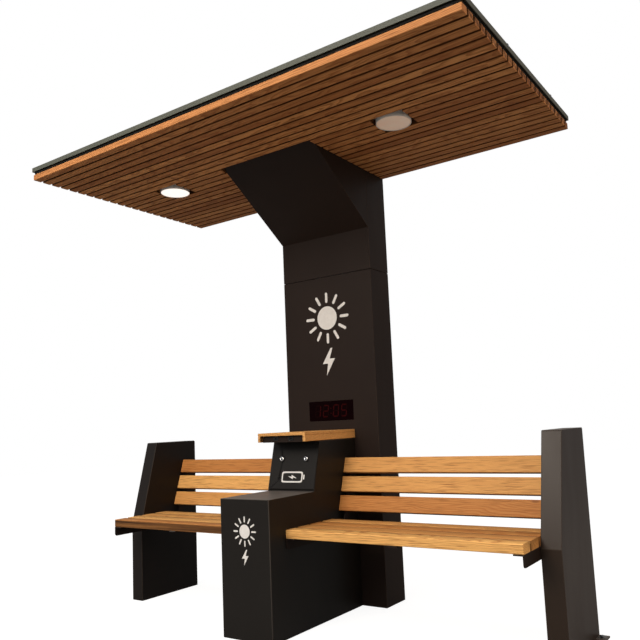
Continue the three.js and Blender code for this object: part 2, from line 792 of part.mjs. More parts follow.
function buildSeats(side, sign) {
  const near = columnOffset + sign * (consoleHalf + fit);
  const far = sign * (supportInner - fit);
  const spanX = [Math.min(near, far), Math.max(near, far)];

  // The front slat is narrower than the others, which share what is left of the depth.
  const slatWide = (seatDepth - seatFrontSlatWidth) / (seatSlatCount - 1) - seatSlatGap;
  for (let i = 0; i < seatSlatCount; i++) {
    const wide = i === 0 ? seatFrontSlatWidth : slatWide;
    const front = -seatReach + seatDepth - wide - (seatSlatCount - 1 - i) * (slatWide + seatSlatGap);
    const outline = roundedRectangle(front, seatUnderside, wide, seatSlatThickness, seatSlatRounding);
    piece("seat_slat_" + side + "_" + (i + 1), prism(outline, spanX), teak, assembly);
  }

  // The backrest leans: its group's Z runs up its face.
  const back = group(0, -backFootReach, backFootHeight);
  back.rotation.x = -THREE.MathUtils.degToRad(backLean);
  for (let i = 0; i < backSlatCount; i++) {
    const bottom = i * (backSlatWidth + backSlatGap);
    const outline = roundedRectangle(0, bottom, backSlatThickness, backSlatWidth, backSlatRounding);
    piece("back_slat_" + side + "_" + (i + 1), prism(outline, spanX), teak, back);
  }

  // The welded frame under the seat: an angle at each end, two rails and the bars behind the backrest.
  const frameY = [-seatReach, -seatReach + seatDepth];
  const plateZ = [frameTop - endPlateHeight, frameTop];
  const corner = new THREE.Shape();
  corner.moveTo(frameY[1], plateZ[0]);
  corner.lineTo(frameY[1], plateZ[1]);
  corner.lineTo(frameY[0], plateZ[1]);
  corner.lineTo(frameY[0], plateZ[0] + endPlateCorner);
  corner.absarc(
    frameY[0] + endPlateCorner,
    plateZ[0] + endPlateCorner,
    endPlateCorner,
    Math.PI,
    1.5 * Math.PI,
  );
  const ends = [
    [spanX[0], 1],
    [spanX[1], -1],
  ].flatMap(([x, inward]) => {
    const wall = [x, x + inward * endPlateThickness].sort((a, b) => a - b);
    const flange = [x, x + inward * endPlateFlange].sort((a, b) => a - b);
    return [
      prism(corner, wall),
      block(flange, frameY, [frameTop - endPlateThickness, frameTop]),
    ];
  });
  const railX = [spanX[0] + weldBite, spanX[1] - weldBite];
  const railTop = frameTop - railDrop;
  const railZ = [railTop - railHeight, railTop];
  const middle = (spanX[0] + spanX[1]) / 2;
  const bearer = block(around(middle, bearerWidth), frameY, [railTop - weldBite, frameTop]);
  const frontRailY = frameY[0] + railFrontInset;
  const frontRail = block(railX, [frontRailY, frontRailY + railWidth], railZ);
  const rearRailY = frameY[1] - railRearInset - railWidth;
  const rearRail = block(railX, [rearRailY, rearRailY + railWidth], railZ);
  const leanSlope = Math.tan(THREE.MathUtils.degToRad(backLean));
  const backHeight =
    (backSlatCount * backSlatWidth + (backSlatCount - 1) * backSlatGap) *
    Math.cos(THREE.MathUtils.degToRad(backLean));
  const backPlane = (z) =>
    -backFootReach +
    (z - backFootHeight) * leanSlope +
    (backSlatThickness + fit) / Math.cos(THREE.MathUtils.degToRad(backLean));
  const barTop = backFootHeight + backHeight - backSlatRounding * 2;
  const barOutline = [
    [rearRailY, railZ[0]],
    [backPlane(railZ[0]) + backBarDepth, railZ[0]],
    [backPlane(barTop) + backBarDepth, barTop],
    [backPlane(barTop), barTop],
    [backPlane(seatUnderside), frameTop],
    [rearRailY, frameTop],
  ];
  const barsX = [spanX[0] + backBarInset, spanX[1] - backBarInset];
  const bars = barsX.map((x) => prism(barOutline, around(x, backBarThickness)));
  piece("seat_frame_" + side, join([...ends, frontRail, rearRail, bearer, ...bars]), paint, assembly);

  // The end support: a closed sheet box, open underneath, with a floor foot on its outer side.
  const inner = [-supportFootDepth, -supportHeadDepth, 0];
  const shape = new THREE.Shape();
  shape.moveTo(inner[0], 0);
  shape.lineTo(inner[0], supportBreakHeight);
  shape.lineTo(inner[1], supportHeight - supportCorner);
  shape.absarc(
    inner[1] + supportCorner,
    supportHeight - supportCorner,
    supportCorner,
    Math.PI,
    Math.PI / 2,
    true,
  );
  shape.absarc(-supportCorner, supportHeight - supportCorner, supportCorner, Math.PI / 2, 0, true);
  shape.lineTo(0, 0);
  const outerX = sign * (supportInner + supportWidth);
  const wallX = [Math.min(sign * supportInner, outerX), Math.max(sign * supportInner, outerX)];
  const s = supportSheet;
  const hollow = [
    [inner[0] + s, -overrun],
    [inner[0] + s, supportBreakHeight],
    [inner[1] + s, supportHeight - supportCorner],
    [-s, supportHeight - supportCorner],
    [-s, -overrun],
  ];
  const footX = [outerX - sign * s, outerX + sign * footReach].sort((a, b) => a - b);
  const foot = cut(block(footX, [-footDepth, 0], [0, footThickness]), [
    rod(
      "z",
      [outerX + (sign * footReach) / 2, -footDepth / 2, -overrun],
      footThickness + 2 * overrun,
      footHoleRadius,
      12,
    ),
  ]);
  const support = cut(prism(shape, wallX), [prism(hollow, [wallX[0] + s, wallX[1] - s])]);
  piece("end_support_" + side, join([support, foot]), paint, assembly);
}

const column = buildColumn();
buildConsole(column);
buildTray(column);
buildRoof();
buildSeats("left", -1);
buildSeats("right", 1);

export default bench;
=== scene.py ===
import bmesh
import bpy
import numpy as np
from mathutils import Matrix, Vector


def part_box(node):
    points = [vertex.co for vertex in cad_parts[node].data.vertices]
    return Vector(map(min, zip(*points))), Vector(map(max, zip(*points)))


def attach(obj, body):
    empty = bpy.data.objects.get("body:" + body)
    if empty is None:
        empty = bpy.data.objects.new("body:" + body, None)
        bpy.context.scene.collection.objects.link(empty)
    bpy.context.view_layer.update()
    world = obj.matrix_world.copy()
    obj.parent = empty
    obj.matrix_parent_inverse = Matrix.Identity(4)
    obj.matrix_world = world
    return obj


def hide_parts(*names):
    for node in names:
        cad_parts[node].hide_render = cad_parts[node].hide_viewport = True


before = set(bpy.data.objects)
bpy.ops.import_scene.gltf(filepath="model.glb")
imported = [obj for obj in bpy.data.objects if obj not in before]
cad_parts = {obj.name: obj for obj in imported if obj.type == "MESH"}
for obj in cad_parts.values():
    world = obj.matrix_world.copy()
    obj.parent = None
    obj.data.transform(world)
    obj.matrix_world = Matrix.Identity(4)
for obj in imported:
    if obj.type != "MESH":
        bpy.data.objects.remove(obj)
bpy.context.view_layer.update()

# The camera stands in front and to the right at eye height, and the lens looks slightly up at the roof.
# Its place and lens come from measured points of the bench; the image is taken as 640 by 640.
scene = bpy.context.scene
scene.view_settings.view_transform = "Standard"
focal_pixels, image_side, sensor_mm = 690.621, 640, 36
image_centre = (340.26, 342.711)
camera_place_mm = (1962.09, -2543.88, 891.29)
camera_turn, camera_pitch, camera_roll = np.radians((33.8203, 6.7065, -2.5913))

camera_data = bpy.data.cameras.new("studio_camera")
camera_data.sensor_width = sensor_mm
camera_data.lens = focal_pixels / image_side * sensor_mm
camera_data.shift_x = (image_side / 2 - image_centre[0]) / image_side
camera_data.shift_y = (image_centre[1] - image_side / 2) / image_side
camera_data.clip_start, camera_data.clip_end = 0.05, 80
ahead = np.array((
    -np.sin(camera_turn) * np.cos(camera_pitch),
    np.cos(camera_turn) * np.cos(camera_pitch),
    np.sin(camera_pitch),
))
level = np.array((np.cos(camera_turn), np.sin(camera_turn), 0.0))
upward = np.cross(level, ahead)


def stand(name, data, place, right, above):
    """A new object at a place in metres, with its X and Y axes along `right` and `above`. A camera or a
    lamp then looks against their cross product."""
    axes = np.eye(4)
    axes[:3, :3] = np.stack((right, above, np.cross(right, above)), axis=1)
    axes[:3, 3] = place
    made = bpy.data.objects.new(name, data)
    scene.collection.objects.link(made)
    made.matrix_world = Matrix(axes.tolist())
    return made


scene.camera = stand(
    "studio_camera", camera_data, np.array(camera_place_mm) / 1000,
    level * np.cos(camera_roll) + upward * np.sin(camera_roll),
    upward * np.cos(camera_roll) - level * np.sin(camera_roll),
)


# The studio: a white floor that keeps the shadow, a white sky, and large soft lamps. The sky and the
# floor show white to the camera and through glass, and are darker in gloss and as light on the object.
def linear(code):
    """RGBA of an sRGB hex code: c / 12.92 near black, and ((c + 0.055) / 1.055) ** 2.4 above it."""
    c = np.array([int(code[i:i + 2], 16) for i in (1, 3, 5)]) / 255
    return (*np.where(c <= 0.04045, c / 12.92, ((c + 0.055) / 1.055) ** 2.4).tolist(), 1.0)


def feed(node, feeds):
    """Sets each input of a node to a value or links it to a socket. A node given in a socket's place
    stands for its first output that its settings leave in use."""
    for key, value in feeds.items():
        if isinstance(value, bpy.types.Node):
            value = next(output for output in value.outputs if output.enabled)
        if isinstance(value, bpy.types.NodeSocket):
            node.id_data.links.new(value, node.inputs[key])
        else:
            node.inputs[key].default_value = value


def add(tree, kind, feeds=None, **settings):
    """One new node: its settings first, then its inputs."""
    made = tree.nodes.new("ShaderNode" + kind)
    for key, value in settings.items():
        setattr(made, key, value)
    feed(made, feeds or {})
    return made


def material(name):
    """A new material with its node tree and its shader. Its pieces take the record's slot."""
    made = bpy.data.materials.new(name)
    made.use_nodes = True
    return made, made.node_tree, made.node_tree.nodes["Principled BSDF"]


def strength_by_ray(tree, shown, gloss, light):
    """`shown` for a ray of the camera or through glass, `gloss` in a reflection, else `light`."""
    path = add(tree, "LightPath").outputs
    seen = add(tree, "Math", {0: path["Is Camera Ray"], 1: path["Is Transmission Ray"]},
               operation="MAXIMUM")
    unseen = add(tree, "Mix", {0: path["Is Glossy Ray"], 2: light, 3: gloss})
    return add(tree, "Mix", {0: seen, 2: unseen, 3: shown})


sky = bpy.data.worlds.new("studio_sky")
scene.world = sky
sky.use_nodes = True
sky_tree = sky.node_tree
sky_up = add(sky_tree, "SeparateXYZ", {"Vector": add(sky_tree, "TexCoord").outputs["Generated"]})
sky_gloss = add(sky_tree, "MapRange", {
    "Value": sky_up.outputs["Z"], "From Min": 0.1, "From Max": 0.7, "To Min": 0.25, "To Max": 0.6,
})
feed(sky_tree.nodes["Background"], {
    "Color": linear("#ffffff"), "Strength": strength_by_ray(sky_tree, 1.0, sky_gloss, 0.45),
})

floor_half = 14.0
floor_paint, floor_tree, floor_shader = material("white_studio_floor")
feed(floor_shader, {
    "Base Color": linear("#8d8c8a"), "Roughness": 1.0, "Specular IOR Level": 0.0,
    "Emission Color": linear("#ffffff"), "Emission Strength": strength_by_ray(floor_tree, 0.9, 0.1, 0.03),
})
floor_mesh = bpy.data.meshes.new("studio_floor")
floor_mesh.from_pydata(
    [(x * floor_half, y * floor_half, 0) for x, y in ((-1, -1), (1, -1), (1, 1), (-1, 1))],
    [], [(0, 1, 2, 3)],
)
floor_mesh.materials.append(floor_paint)
stand("studio_floor", floor_mesh, (0, 0, 0), (1, 0, 0), (0, 1, 0))

# Each lamp: place and aim in metres, side in metres, power in watts, colour.
lamps = {
    "key_lamp": ((-0.3, -4.1, 3.2), (0.4, 0.0, 0.7), 1.8, 138, "#fff4e6"),
    "side_lamp": ((5.0, 0.2, 2.6), (0.2, 0.3, 1.0), 2.6, 62, "#ffdcb4"),
    "fill_lamp": ((-4.6, -4.2, 2.6), (0.0, 0.0, 1.0), 3.6, 14, "#f4f7ff"),
    "top_lamp": ((-0.3, -2.7, 5.4), (0.0, -0.1, 0.4), 3.0, 110, "#ffffff"),
}
for lamp_name, (place, aim, side, power, colour) in lamps.items():
    lamp_data = bpy.data.lights.new(lamp_name, "AREA")
    lamp_data.shape = "SQUARE"
    lamp_data.size = side
    lamp_data.energy = power
    lamp_data.color = linear(colour)[:3]
    lamp_back = np.array(place) - np.array(aim)
    lamp_back /= np.linalg.norm(lamp_back)
    lamp_right = np.cross((0.0, 0.0, 1.0), lamp_back)
    lamp_right /= np.linalg.norm(lamp_right)
    stand(lamp_name, lamp_data, place, lamp_right, np.cross(lamp_back, lamp_right))


# The hidden steel: base plate, inner post, roof bracket, roof beams and rails, battery shelf and hinge
# pin. Cut from plate and hollow section, welded, then hot-dip galvanised.
def rounded_copy(node, fold_radius, cut_radius, fold_width=12):
    """A copy of a CAD piece with its triangles merged into whole faces. An outward edge between two faces
    that are both wider than `fold_width` mm is a fold, and gets a round of `fold_radius` mm. Every other
    edge over 35 degrees is a cut edge, and gets `cut_radius` mm. The rounds are marked `worn_and_highlit`:
    the coat paints them paler, for wear and as a painted highlight."""
    bm = bmesh.new()
    bm.from_mesh(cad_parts[node].data)
    bmesh.ops.remove_doubles(bm, verts=bm.verts, dist=1e-5)
    bmesh.ops.dissolve_limit(bm, angle_limit=np.radians(1), verts=bm.verts, edges=bm.edges)
    worn_and_highlit = bm.faces.layers.float.new("worn_and_highlit")

    def corner(edge, angle):
        return len(edge.link_faces) == 2 and edge.calc_face_angle(0.0) > np.radians(angle)

    def width(edge):
        return min(face.calc_area() for face in edge.link_faces) / edge.calc_length() * 1000

    def round_off(edges, radius, **way):
        if radius and edges:
            made = bmesh.ops.bevel(bm, geom=edges, offset=radius / 1000, profile=0.5, affect="EDGES",
                                   clamp_overlap=True, **way)
            for face in made["faces"]:
                face[worn_and_highlit] = 1.0

    least_fold, least_cut = 12, 35                 # degrees between the two faces
    round_off([e for e in bm.edges if corner(e, least_fold) and e.is_convex and width(e) > fold_width],
              fold_radius, segments=4, miter_outer="ARC", loop_slide=False)
    round_off([e for e in bm.edges if corner(e, least_cut)], cut_radius, segments=2)
    # Rounds that meet leave edges of no length, which would spoil the shading of the faces beside them.
    bmesh.ops.dissolve_degenerate(bm, dist=2e-5, edges=bm.edges)
    bmesh.ops.remove_doubles(bm, verts=bm.verts, dist=2e-5)
    bmesh.ops.recalc_face_normals(bm, faces=bm.faces)
    mesh = bpy.data.meshes.new(node)
    bm.to_mesh(mesh)
    bm.free()
    return mesh


def even_shade(mesh, flat_width=0.008):
    """Smooth shading in which a corner's normal is the mean of its faces' normals, weighted by area. A
    face wider than `flat_width` m keeps its own normal, so that it is flat up to the round beside it."""
    def read(items, key, size=1, kind=float):
        values = np.zeros(len(items) * size, kind)
        items.foreach_get(key, values)
        return values.reshape(-1, size) if size > 1 else values

    normals, areas = read(mesh.polygons, "normal", 3), read(mesh.polygons, "area")
    sizes, starts = (read(mesh.polygons, key, 1, int) for key in ("loop_total", "loop_start"))
    corners, places = read(mesh.loops, "vertex_index", 1, int), read(mesh.vertices, "co", 3)
    total = np.zeros(places.shape)
    np.add.at(total, corners, np.repeat(normals * areas[:, None], sizes, axis=0))
    total /= np.maximum(np.linalg.norm(total, axis=1, keepdims=True), 1e-12)
    after = np.arange(1, len(corners) + 1)
    after[starts + sizes - 1] = starts
    sides = np.linalg.norm(places[corners[after]] - places[corners], axis=1)
    wide = areas > flat_width * np.maximum.reduceat(sides, starts)
    shown = np.where(np.repeat(wide, sizes)[:, None], np.repeat(normals, sizes, axis=0), total[corners])
    mesh.shade_smooth()
    mesh.normals_split_custom_set(shown.tolist())


def place_piece(name, mesh, finish, body="bench", node=""):
    """Puts a mesh in the scene as a piece, with its finish and its body, and hides the CAD node it stands
    for.
    """
    mesh.materials.clear()
    mesh.materials.append(finish)
    even_shade(mesh)
    made = bpy.data.objects.new(name, mesh)
    scene.collection.objects.link(made)
    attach(made, body)
    if node:
        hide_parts(node)


def dress(node, finish, fold_radius, cut_radius, body="bench", fold_width=12):
    """Replaces a CAD node by its rounded copy."""
    mesh = rounded_copy(node, fold_radius, cut_radius, fold_width)
    place_piece(node + "_finished", mesh, finish, body, node)


# Hot-dip galvanised steel: dull zinc with flat crystals of slightly different grey, some 8 mm across.
zinc, zinc_tree, zinc_shader = material("galvanised_steel")
zinc_place = add(zinc_tree, "TexCoord").outputs["Object"]
zinc_crystals = add(zinc_tree, "TexVoronoi", {"Vector": zinc_place, "Scale": 120.0})
zinc_cloud = add(zinc_tree, "TexNoise", {"Vector": zinc_place, "Scale": 9.0, "Detail": 4.0})
zinc_tone = add(zinc_tree, "Mix", {
    0: zinc_crystals.outputs["Color"], 6: linear("#8b9094"), 7: linear("#a9adb0"),
}, data_type="RGBA")
feed(zinc_shader, {
    "Base Color": add(zinc_tree, "Mix", {0: zinc_cloud, 6: zinc_tone, 7: linear("#7b7f82")},
                      data_type="RGBA"),
    "Roughness": add(zinc_tree, "MapRange", {"Value": zinc_cloud, "To Min": 0.38, "To Max": 0.62}),
    "Normal": add(zinc_tree, "Bump", {"Height": zinc_crystals, "Strength": 0.05, "Distance": 0.001}),
    "Metallic": 1.0,
})

hidden_steel = {                                   # the fold radius of each piece, in mm
    "base_plate": 1.0, "column_post": 5.0, "arm_bracket": 1.2, "battery_shelf": 1.0,
    "roof_beam_front": 2.5, "roof_beam_rear": 2.5,
    "roof_rail_outer_left": 2.5, "roof_rail_inner_left": 2.5,
    "roof_rail_inner_right": 2.5, "roof_rail_outer_right": 2.5,
}
for steel_node, fold in hidden_steel.items():
    dress(steel_node, zinc, fold, 0.4)


# Anchor nuts on washers hold the base plate, hexagon bolts hold the bracket to the post, and one bolt
# goes through each floor foot. All are zinc-plated steel.
def skin(rings, wrapped=False):
    """A mesh over rings of points: rings[b, s, n] is point n of ring s of body b, in metres. Quads join
    neighbouring rings, and one face closes each end, or the last ring joins the first if wrapped."""
    rings = np.asarray(rings, float)
    rings = rings.reshape((-1,) + rings.shape[-3:])
    bodies, stations, points = rings.shape[:3]
    index = np.arange(bodies * stations * points).reshape(bodies, stations, points)
    after = np.roll(index, -1, axis=2)
    if wrapped:
        low, low_after = index, after
        high, high_after = np.roll(index, -1, axis=1), np.roll(after, -1, axis=1)
    else:
        low, low_after, high, high_after = index[:, :-1], after[:, :-1], index[:, 1:], after[:, 1:]
    quads = np.stack((low, low_after, high_after, high), axis=-1).reshape(-1, 4)
    flat = rings.reshape(-1, 3)
    a, b, c, d = (flat[quads[:, i]] for i in range(4))
    centre = np.repeat(rings.reshape(bodies, -1, 3).mean(axis=1), len(quads) // bodies, axis=0)
    outward = np.einsum("ij,ij->i", np.cross(c - a, d - b), (a + c) / 2 - centre).sum() > 0
    faces = (quads if outward else quads[:, ::-1]).tolist()
    if not wrapped:
        first, last = index[:, 0, ::-1], index[:, -1]
        if not outward:
            first, last = first[:, ::-1], last[:, ::-1]
        faces += first.tolist() + last.tolist()
    mesh = bpy.data.meshes.new("skin")
    mesh.from_pydata(flat.tolist(), [], faces)
    return mesh


def circle(sides):
    """The cosines and the sines of equal steps round a circle."""
    turn = np.linspace(0, 2 * np.pi, sides, endpoint=False)
    return np.cos(turn), np.sin(turn)


def turned(profile, centres, axis=(0, 0, 1), sides=40):
    """Turned bodies: each (radius, height) of the profile, in mm, is a circle round the axis at that
    height above a centre. Six sides give a hexagon. Returns rings in metres."""
    profile, centres = np.array(profile, float), np.atleast_2d(centres).astype(float)
    axis = np.array(axis, float) / np.linalg.norm(axis)
    first = np.cross(axis, (1.0, 0, 0) if abs(axis[0]) < 0.9 else (0, 1.0, 0))
    first /= np.linalg.norm(first)
    cos, sin = circle(sides)
    ring = cos[:, None] * first + sin[:, None] * np.cross(axis, first)
    shape = profile[:, None, 1:] * axis + profile[:, None, :1] * ring
    return (centres[:, None, None, :] + shape[None]) / 1000


def hex_heads(name, centres, axis, size):
    """Hexagon heads with a chamfered top on a round washer, `size` being the thread in mm."""
    washer_top = 1.6
    head = [(0.05, 0.72 * size + washer_top), (0.75 * size, 0.72 * size + washer_top),
            (0.92 * size, 0.62 * size + washer_top), (0.92 * size, washer_top), (0.05, washer_top)]
    washer = [(0.05, washer_top), (1.05 * size, washer_top), (1.15 * size, 1.3), (1.15 * size, 0.2),
              (0.05, 0)]
    for part, profile, sides in (("", head, 6), ("_washers", washer, 28)):
        place_piece(name + part, skin(turned(profile, centres, axis, sides)), zinc)


column_x, column_front, column_rear = -95.0, 412.0, 590.0
anchor_places = [(column_x + sx * 235, y, 12.2) for sx in (-1, 1) for y in (457, 545)]
hex_heads("anchor_nuts", anchor_places, (0, 0, 1), 16)
bracket_places = [(column_x + sx * 42, 440.5, z) for sx in (-1, 1) for z in (1990, 2070, 2150)]
hex_heads("bracket_bolts", bracket_places, (0, -1, 0), 12)
hex_heads("foot_bolts", [(sx * 1191, 377, 6.1) for sx in (-1, 1)], (0, 0, 1), 10)


# The column: 3 mm sheet steel folded at its front corners, in a lower and an upper length, with a flat
# rear cover. Sprayed with dark brown polyester powder, which is baked to a fine-textured satin skin.
def powder_coat(name, face, light, edge, gloss, sheen):
    """Baked powder on steel: faint clouds of tone and a fine orange peel. Rounded folds are paler in patches,
    for wear and as a painted highlight, and level faces are paler, for settled dust and as a painted sheen.
    Real grains are under 1 mm, so the peel is drawn at `peel_mm` to show at all."""
    peel_mm = 3.0
    coat, tree, shader = material(name)
    place = add(tree, "TexCoord").outputs["Object"]
    cloud = add(tree, "TexNoise", {"Vector": place, "Scale": 2.3, "Detail": 3.0, "Roughness": 0.55})
    smear = add(tree, "Mapping", {"Vector": place, "Scale": (9.0, 9.0, 2.2)})
    smudge = add(tree, "TexNoise", {"Vector": smear, "Scale": 1.0, "Detail": 5.0})
    peel = add(tree, "TexNoise", {"Vector": place, "Scale": 1000 / peel_mm, "Detail": 2.0})
    tone = add(tree, "Mix", {0: cloud, 6: linear(face), 7: linear(light)}, data_type="RGBA")
    # The rounds take the paler edge colour in patches: wear, and a painted highlight.
    worn_and_highlit = add(tree, "Attribute", attribute_name="worn_and_highlit").outputs["Fac"]
    rubbed_and_highlit = add(tree, "MapRange", {
        "Value": smudge, "From Min": 0.35, "From Max": 0.65, "To Min": 0.25, "To Max": 0.85,
    })
    share = add(tree, "Math", {0: worn_and_highlit, 1: rubbed_and_highlit}, operation="MULTIPLY")
    clean = add(tree, "Mix", {0: share, 6: tone, 7: linear(edge)}, data_type="RGBA")
    # Faces that look up turn paler: settled dust, and a painted sheen of top light.
    facing = add(tree, "SeparateXYZ", {"Vector": add(tree, "TexCoord").outputs["Normal"]})
    dust_and_sheen = add(tree, "MapRange", {"Value": facing.outputs["Z"], "From Min": 0.6, "To Max": 0.45})
    feed(shader, {
        "Base Color": add(tree, "Mix", {0: dust_and_sheen, 6: clean, 7: linear("#7d736b")}, data_type="RGBA"),
        "Roughness": add(tree, "MapRange", {
            "Value": smudge, "From Min": 0.3, "From Max": 0.7, "To Min": gloss, "To Max": gloss + 0.06,
        }),
        "Normal": add(tree, "Bump", {"Height": peel, "Strength": 0.12, "Distance": 0.0006}),
        "Specular IOR Level": sheen,
    })
    return coat


brown_coat = powder_coat("brown_powder_coated_steel", "#211814", "#291f1a", "#3e342c", 0.5, 0.12)
dress("column_shell_lower", brown_coat, 3.6, 0.4)
dress("column_shell_upper", brown_coat, 3.6, 0.4)
dress("column_rear_cover", brown_coat, 0.6, 0.4)

# Button-head screws hold the rear cover to the lips inside the column.
button_head = [(0.05, 1.4), (2.0, 1.4), (2.4, 2.7), (4.2, 2.4), (5.4, 1.3), (5.6, 0.2), (0.05, 0.0)]
cover_screw_x = 264.0
cover_screws = [(column_x + sx * cover_screw_x, column_rear + 0.05, z)
                for sx in (-1, 1) for z in np.linspace(60, 2160, 9)]
place_piece("cover_screws", skin(turned(button_head, cover_screws, (0, 1, 0), 24)), brown_coat)

# The sloped knee under the roof, of the same folded and coated sheet.
dress("arm_cover", brown_coat, 3.6, 0.4)


# White marks cut from vinyl film, 0.25 mm thick: a plain sun over a plain bolt on the column and on the
# console's front, and a plain battery on the door. The film is matt and slightly soiled.
film_mm, film_gap_mm = 0.25, 0.02


def film(outline, plane, scale=1.0):
    """Film of an outline of (u, v) points in mm. The plane gives its origin and two axes, and the film
    stands `film_mm` out of it. Returns two rings in metres."""
    origin, u, v = (np.array(row, float) for row in plane)
    flat = origin + scale * (outline[:, :1] * u + outline[:, 1:] * v)
    out = np.cross(u, v)
    return np.stack((flat + film_gap_mm * out, flat + film_mm * out)) / 1000


def points(*coordinates):
    """Points from their coordinates, each an array or one number for all."""
    return np.stack(np.broadcast_arrays(*coordinates), axis=-1).astype(float)


def spoke(angle, near, far, width, steps=6):
    """Outline of a bar with round ends that points away from the middle: half circles of width / 2 round
    the points `near` and `far` along the angle."""
    half = np.linspace(-np.pi / 2, np.pi / 2, steps)
    out, side = width / 2 * np.cos(half), width / 2 * np.sin(half)
    ends = np.concatenate((points(far + out, side), points(near - out, -side)))
    turn = np.array(((np.cos(angle), np.sin(angle)), (-np.sin(angle), np.cos(angle))))
    return ends @ turn


def clouded(name, scale, detail, feeds, tones=None, rough=None, bump=None, stretch=None):
    """A material whose colour wavers between two tones, or its roughness between two values, or both, as
    one soft noise does. `feeds` sets the rest of the shader, `bump` is a strength and a depth in metres."""
    made, tree, shader = material(name)
    place = add(tree, "TexCoord").outputs["Object"]
    if stretch:
        place = add(tree, "Mapping", {"Vector": place, "Scale": stretch})
    cloud = add(tree, "TexNoise", {"Vector": place, "Scale": scale, "Detail": detail})
    feed(shader, feeds)
    if tones:
        feed(shader, {"Base Color": add(tree, "Mix", {0: cloud, 6: linear(tones[0]), 7: linear(tones[1])},
                                        data_type="RGBA")})
    if rough:
        feed(shader, {"Roughness": add(tree, "MapRange", {
            "Value": cloud, "To Min": rough[0], "To Max": rough[1],
        })})
    if bump:
        feed(shader, {"Normal": add(tree, "Bump", {
            "Height": cloud, "Strength": bump[0], "Distance": bump[1],
        })})
    return made


bolt_outline = np.array(((12, 62), (-34, -8), (-5, -8), (-14, -62), (34, 14), (5, 14), (22, 62)), float)
vinyl = clouded("white_vinyl_film", 60.0, 4.0, {"Roughness": 0.42},
                ("#e9e6e2", "#d2cec9"), bump=(0.04, 0.0005))


def merged(meshes):
    """One mesh from several."""
    bm = bmesh.new()
    for mesh in meshes:
        bm.from_mesh(mesh)
    whole = bpy.data.meshes.new("merged")
    bm.to_mesh(whole)
    bm.free()
    return whole


def sun_and_bolt(name, origin, scale):
    """A disc, twelve rays round it and a bolt below, on an upright face that looks towards -Y."""
    plane = (origin, (1, 0, 0), (0, 0, 1))
    disc_radius, ray_near, ray_far, ray_width, ray_count = 62, 88, 128, 15, 12
    lift, drop = np.array((0.0, 82.0)), np.array((0.0, 150.0))
    disc = disc_radius * points(*circle(48))
    rays = np.stack([film(spoke(a, ray_near, ray_far, ray_width) + lift, plane, scale)
                     for a in np.linspace(0, 2 * np.pi, ray_count, endpoint=False)])
    place_piece(name, merged([
        skin(film(disc + lift, plane, scale)), skin(rays),
        skin(film(1.15 * bolt_outline - drop, plane, scale)),
    ]), vinyl)


sun_and_bolt("column_sun_mark", (column_x, column_front, 1367), 1.0)


# The display: a plate of smoked red acrylic, 1 mm proud of the column, over a black module. The plate is
# glossy with a faint haze, and so dark that only its seven-bar digits show through it, as a dull red.
def rounded_bars(low, high, radius, along=0, end_share=0.7, arc_steps=4):
    """Bars between corners low[b] and high[b] in mm. The section across `along` is a rectangle whose
    corners are quarter circles of `radius`. Near each end it shrinks by e (1 - sin a) while it moves in by
    e (1 - cos a), with e = end_share * radius, so the ends are rounded too. Returns rings in metres."""
    low, high = np.atleast_2d(low).astype(float), np.atleast_2d(high).astype(float)
    middle, half = (low + high) / 2, (high - low) / 2
    turn = np.linspace(0, np.pi / 2, arc_steps + 1)
    quarter = (np.arange(4)[:, None] * np.pi / 2 + turn).ravel()
    e = end_share * radius
    shrink, inward = (np.r_[part, part[::-1]] for part in (e * (1 - np.sin(turn)), e * (1 - np.cos(turn))))
    end = np.repeat((-1, 1), arc_steps + 1)
    rings = np.zeros((len(low), len(end), len(quarter), 3))
    rings[..., along] = (middle[:, along, None] + end * (half[:, along, None] - inward))[..., None]
    for axis, signs, arc in ((1, (1, -1, -1, 1), np.cos(quarter)), (2, (1, 1, -1, -1), np.sin(quarter))):
        axis = (along + axis) % 3
        rings[..., axis] = (middle[:, axis, None, None]
                            + np.repeat(signs, arc_steps + 1) * (half[:, axis, None, None] - radius)
                            + (radius - shrink)[None, :, None] * arc)
    return rings / 1000


smoked = clouded("smoked_red_acrylic", 30.0, 3.0, {"Specular IOR Level": 0.02},
                 ("#080102", "#100203"), (0.16, 0.26))
window_low, window_high = (-233.7, 411.0, 910.3), (43.7, 415.0, 1012.7)
place_piece("display_window_finished", skin(rounded_bars(window_low, window_high, 1.2, 0, 0.7, 3)),
            smoked, node="display_window")


def moulded_plastic(name, base, light, gloss, grain_mm=2.0):
    """Injection-moulded plastic: one even tone with a faint cloud, and a spark-eroded grain. Real grains
    are 0.1 mm, so they are drawn at `grain_mm`."""
    plastic, tree, shader = material(name)
    place = add(tree, "TexCoord").outputs["Object"]
    cloud = add(tree, "TexNoise", {"Vector": place, "Scale": 14.0, "Detail": 2.0})
    grain = add(tree, "TexNoise", {"Vector": place, "Scale": 1000 / grain_mm, "Detail": 2.0})
    feed(shader, {
        "Base Color": add(tree, "Mix", {0: cloud, 6: linear(base), 7: linear(light)}, data_type="RGBA"),
        "Normal": add(tree, "Bump", {"Height": grain, "Strength": 0.1, "Distance": 0.0004}),
        "Roughness": gloss, "Specular IOR Level": 0.25,
    })
    return plastic


black_plastic = moulded_plastic("black_moulded_abs", "#141516", "#1c1d1f", 0.48)
dress("display_module", black_plastic, 2.0, 0.4)


def glowing(name, colour, strength):
    """A light-emitting bar under a tinted lens, which scatters it a little unevenly."""
    return clouded(name, 160.0, 1.0, {
        "Roughness": 0.4, "Specular IOR Level": 0.02,
        "Emission Color": linear(colour), "Emission Strength": strength,
    }, (colour, "#160405"))


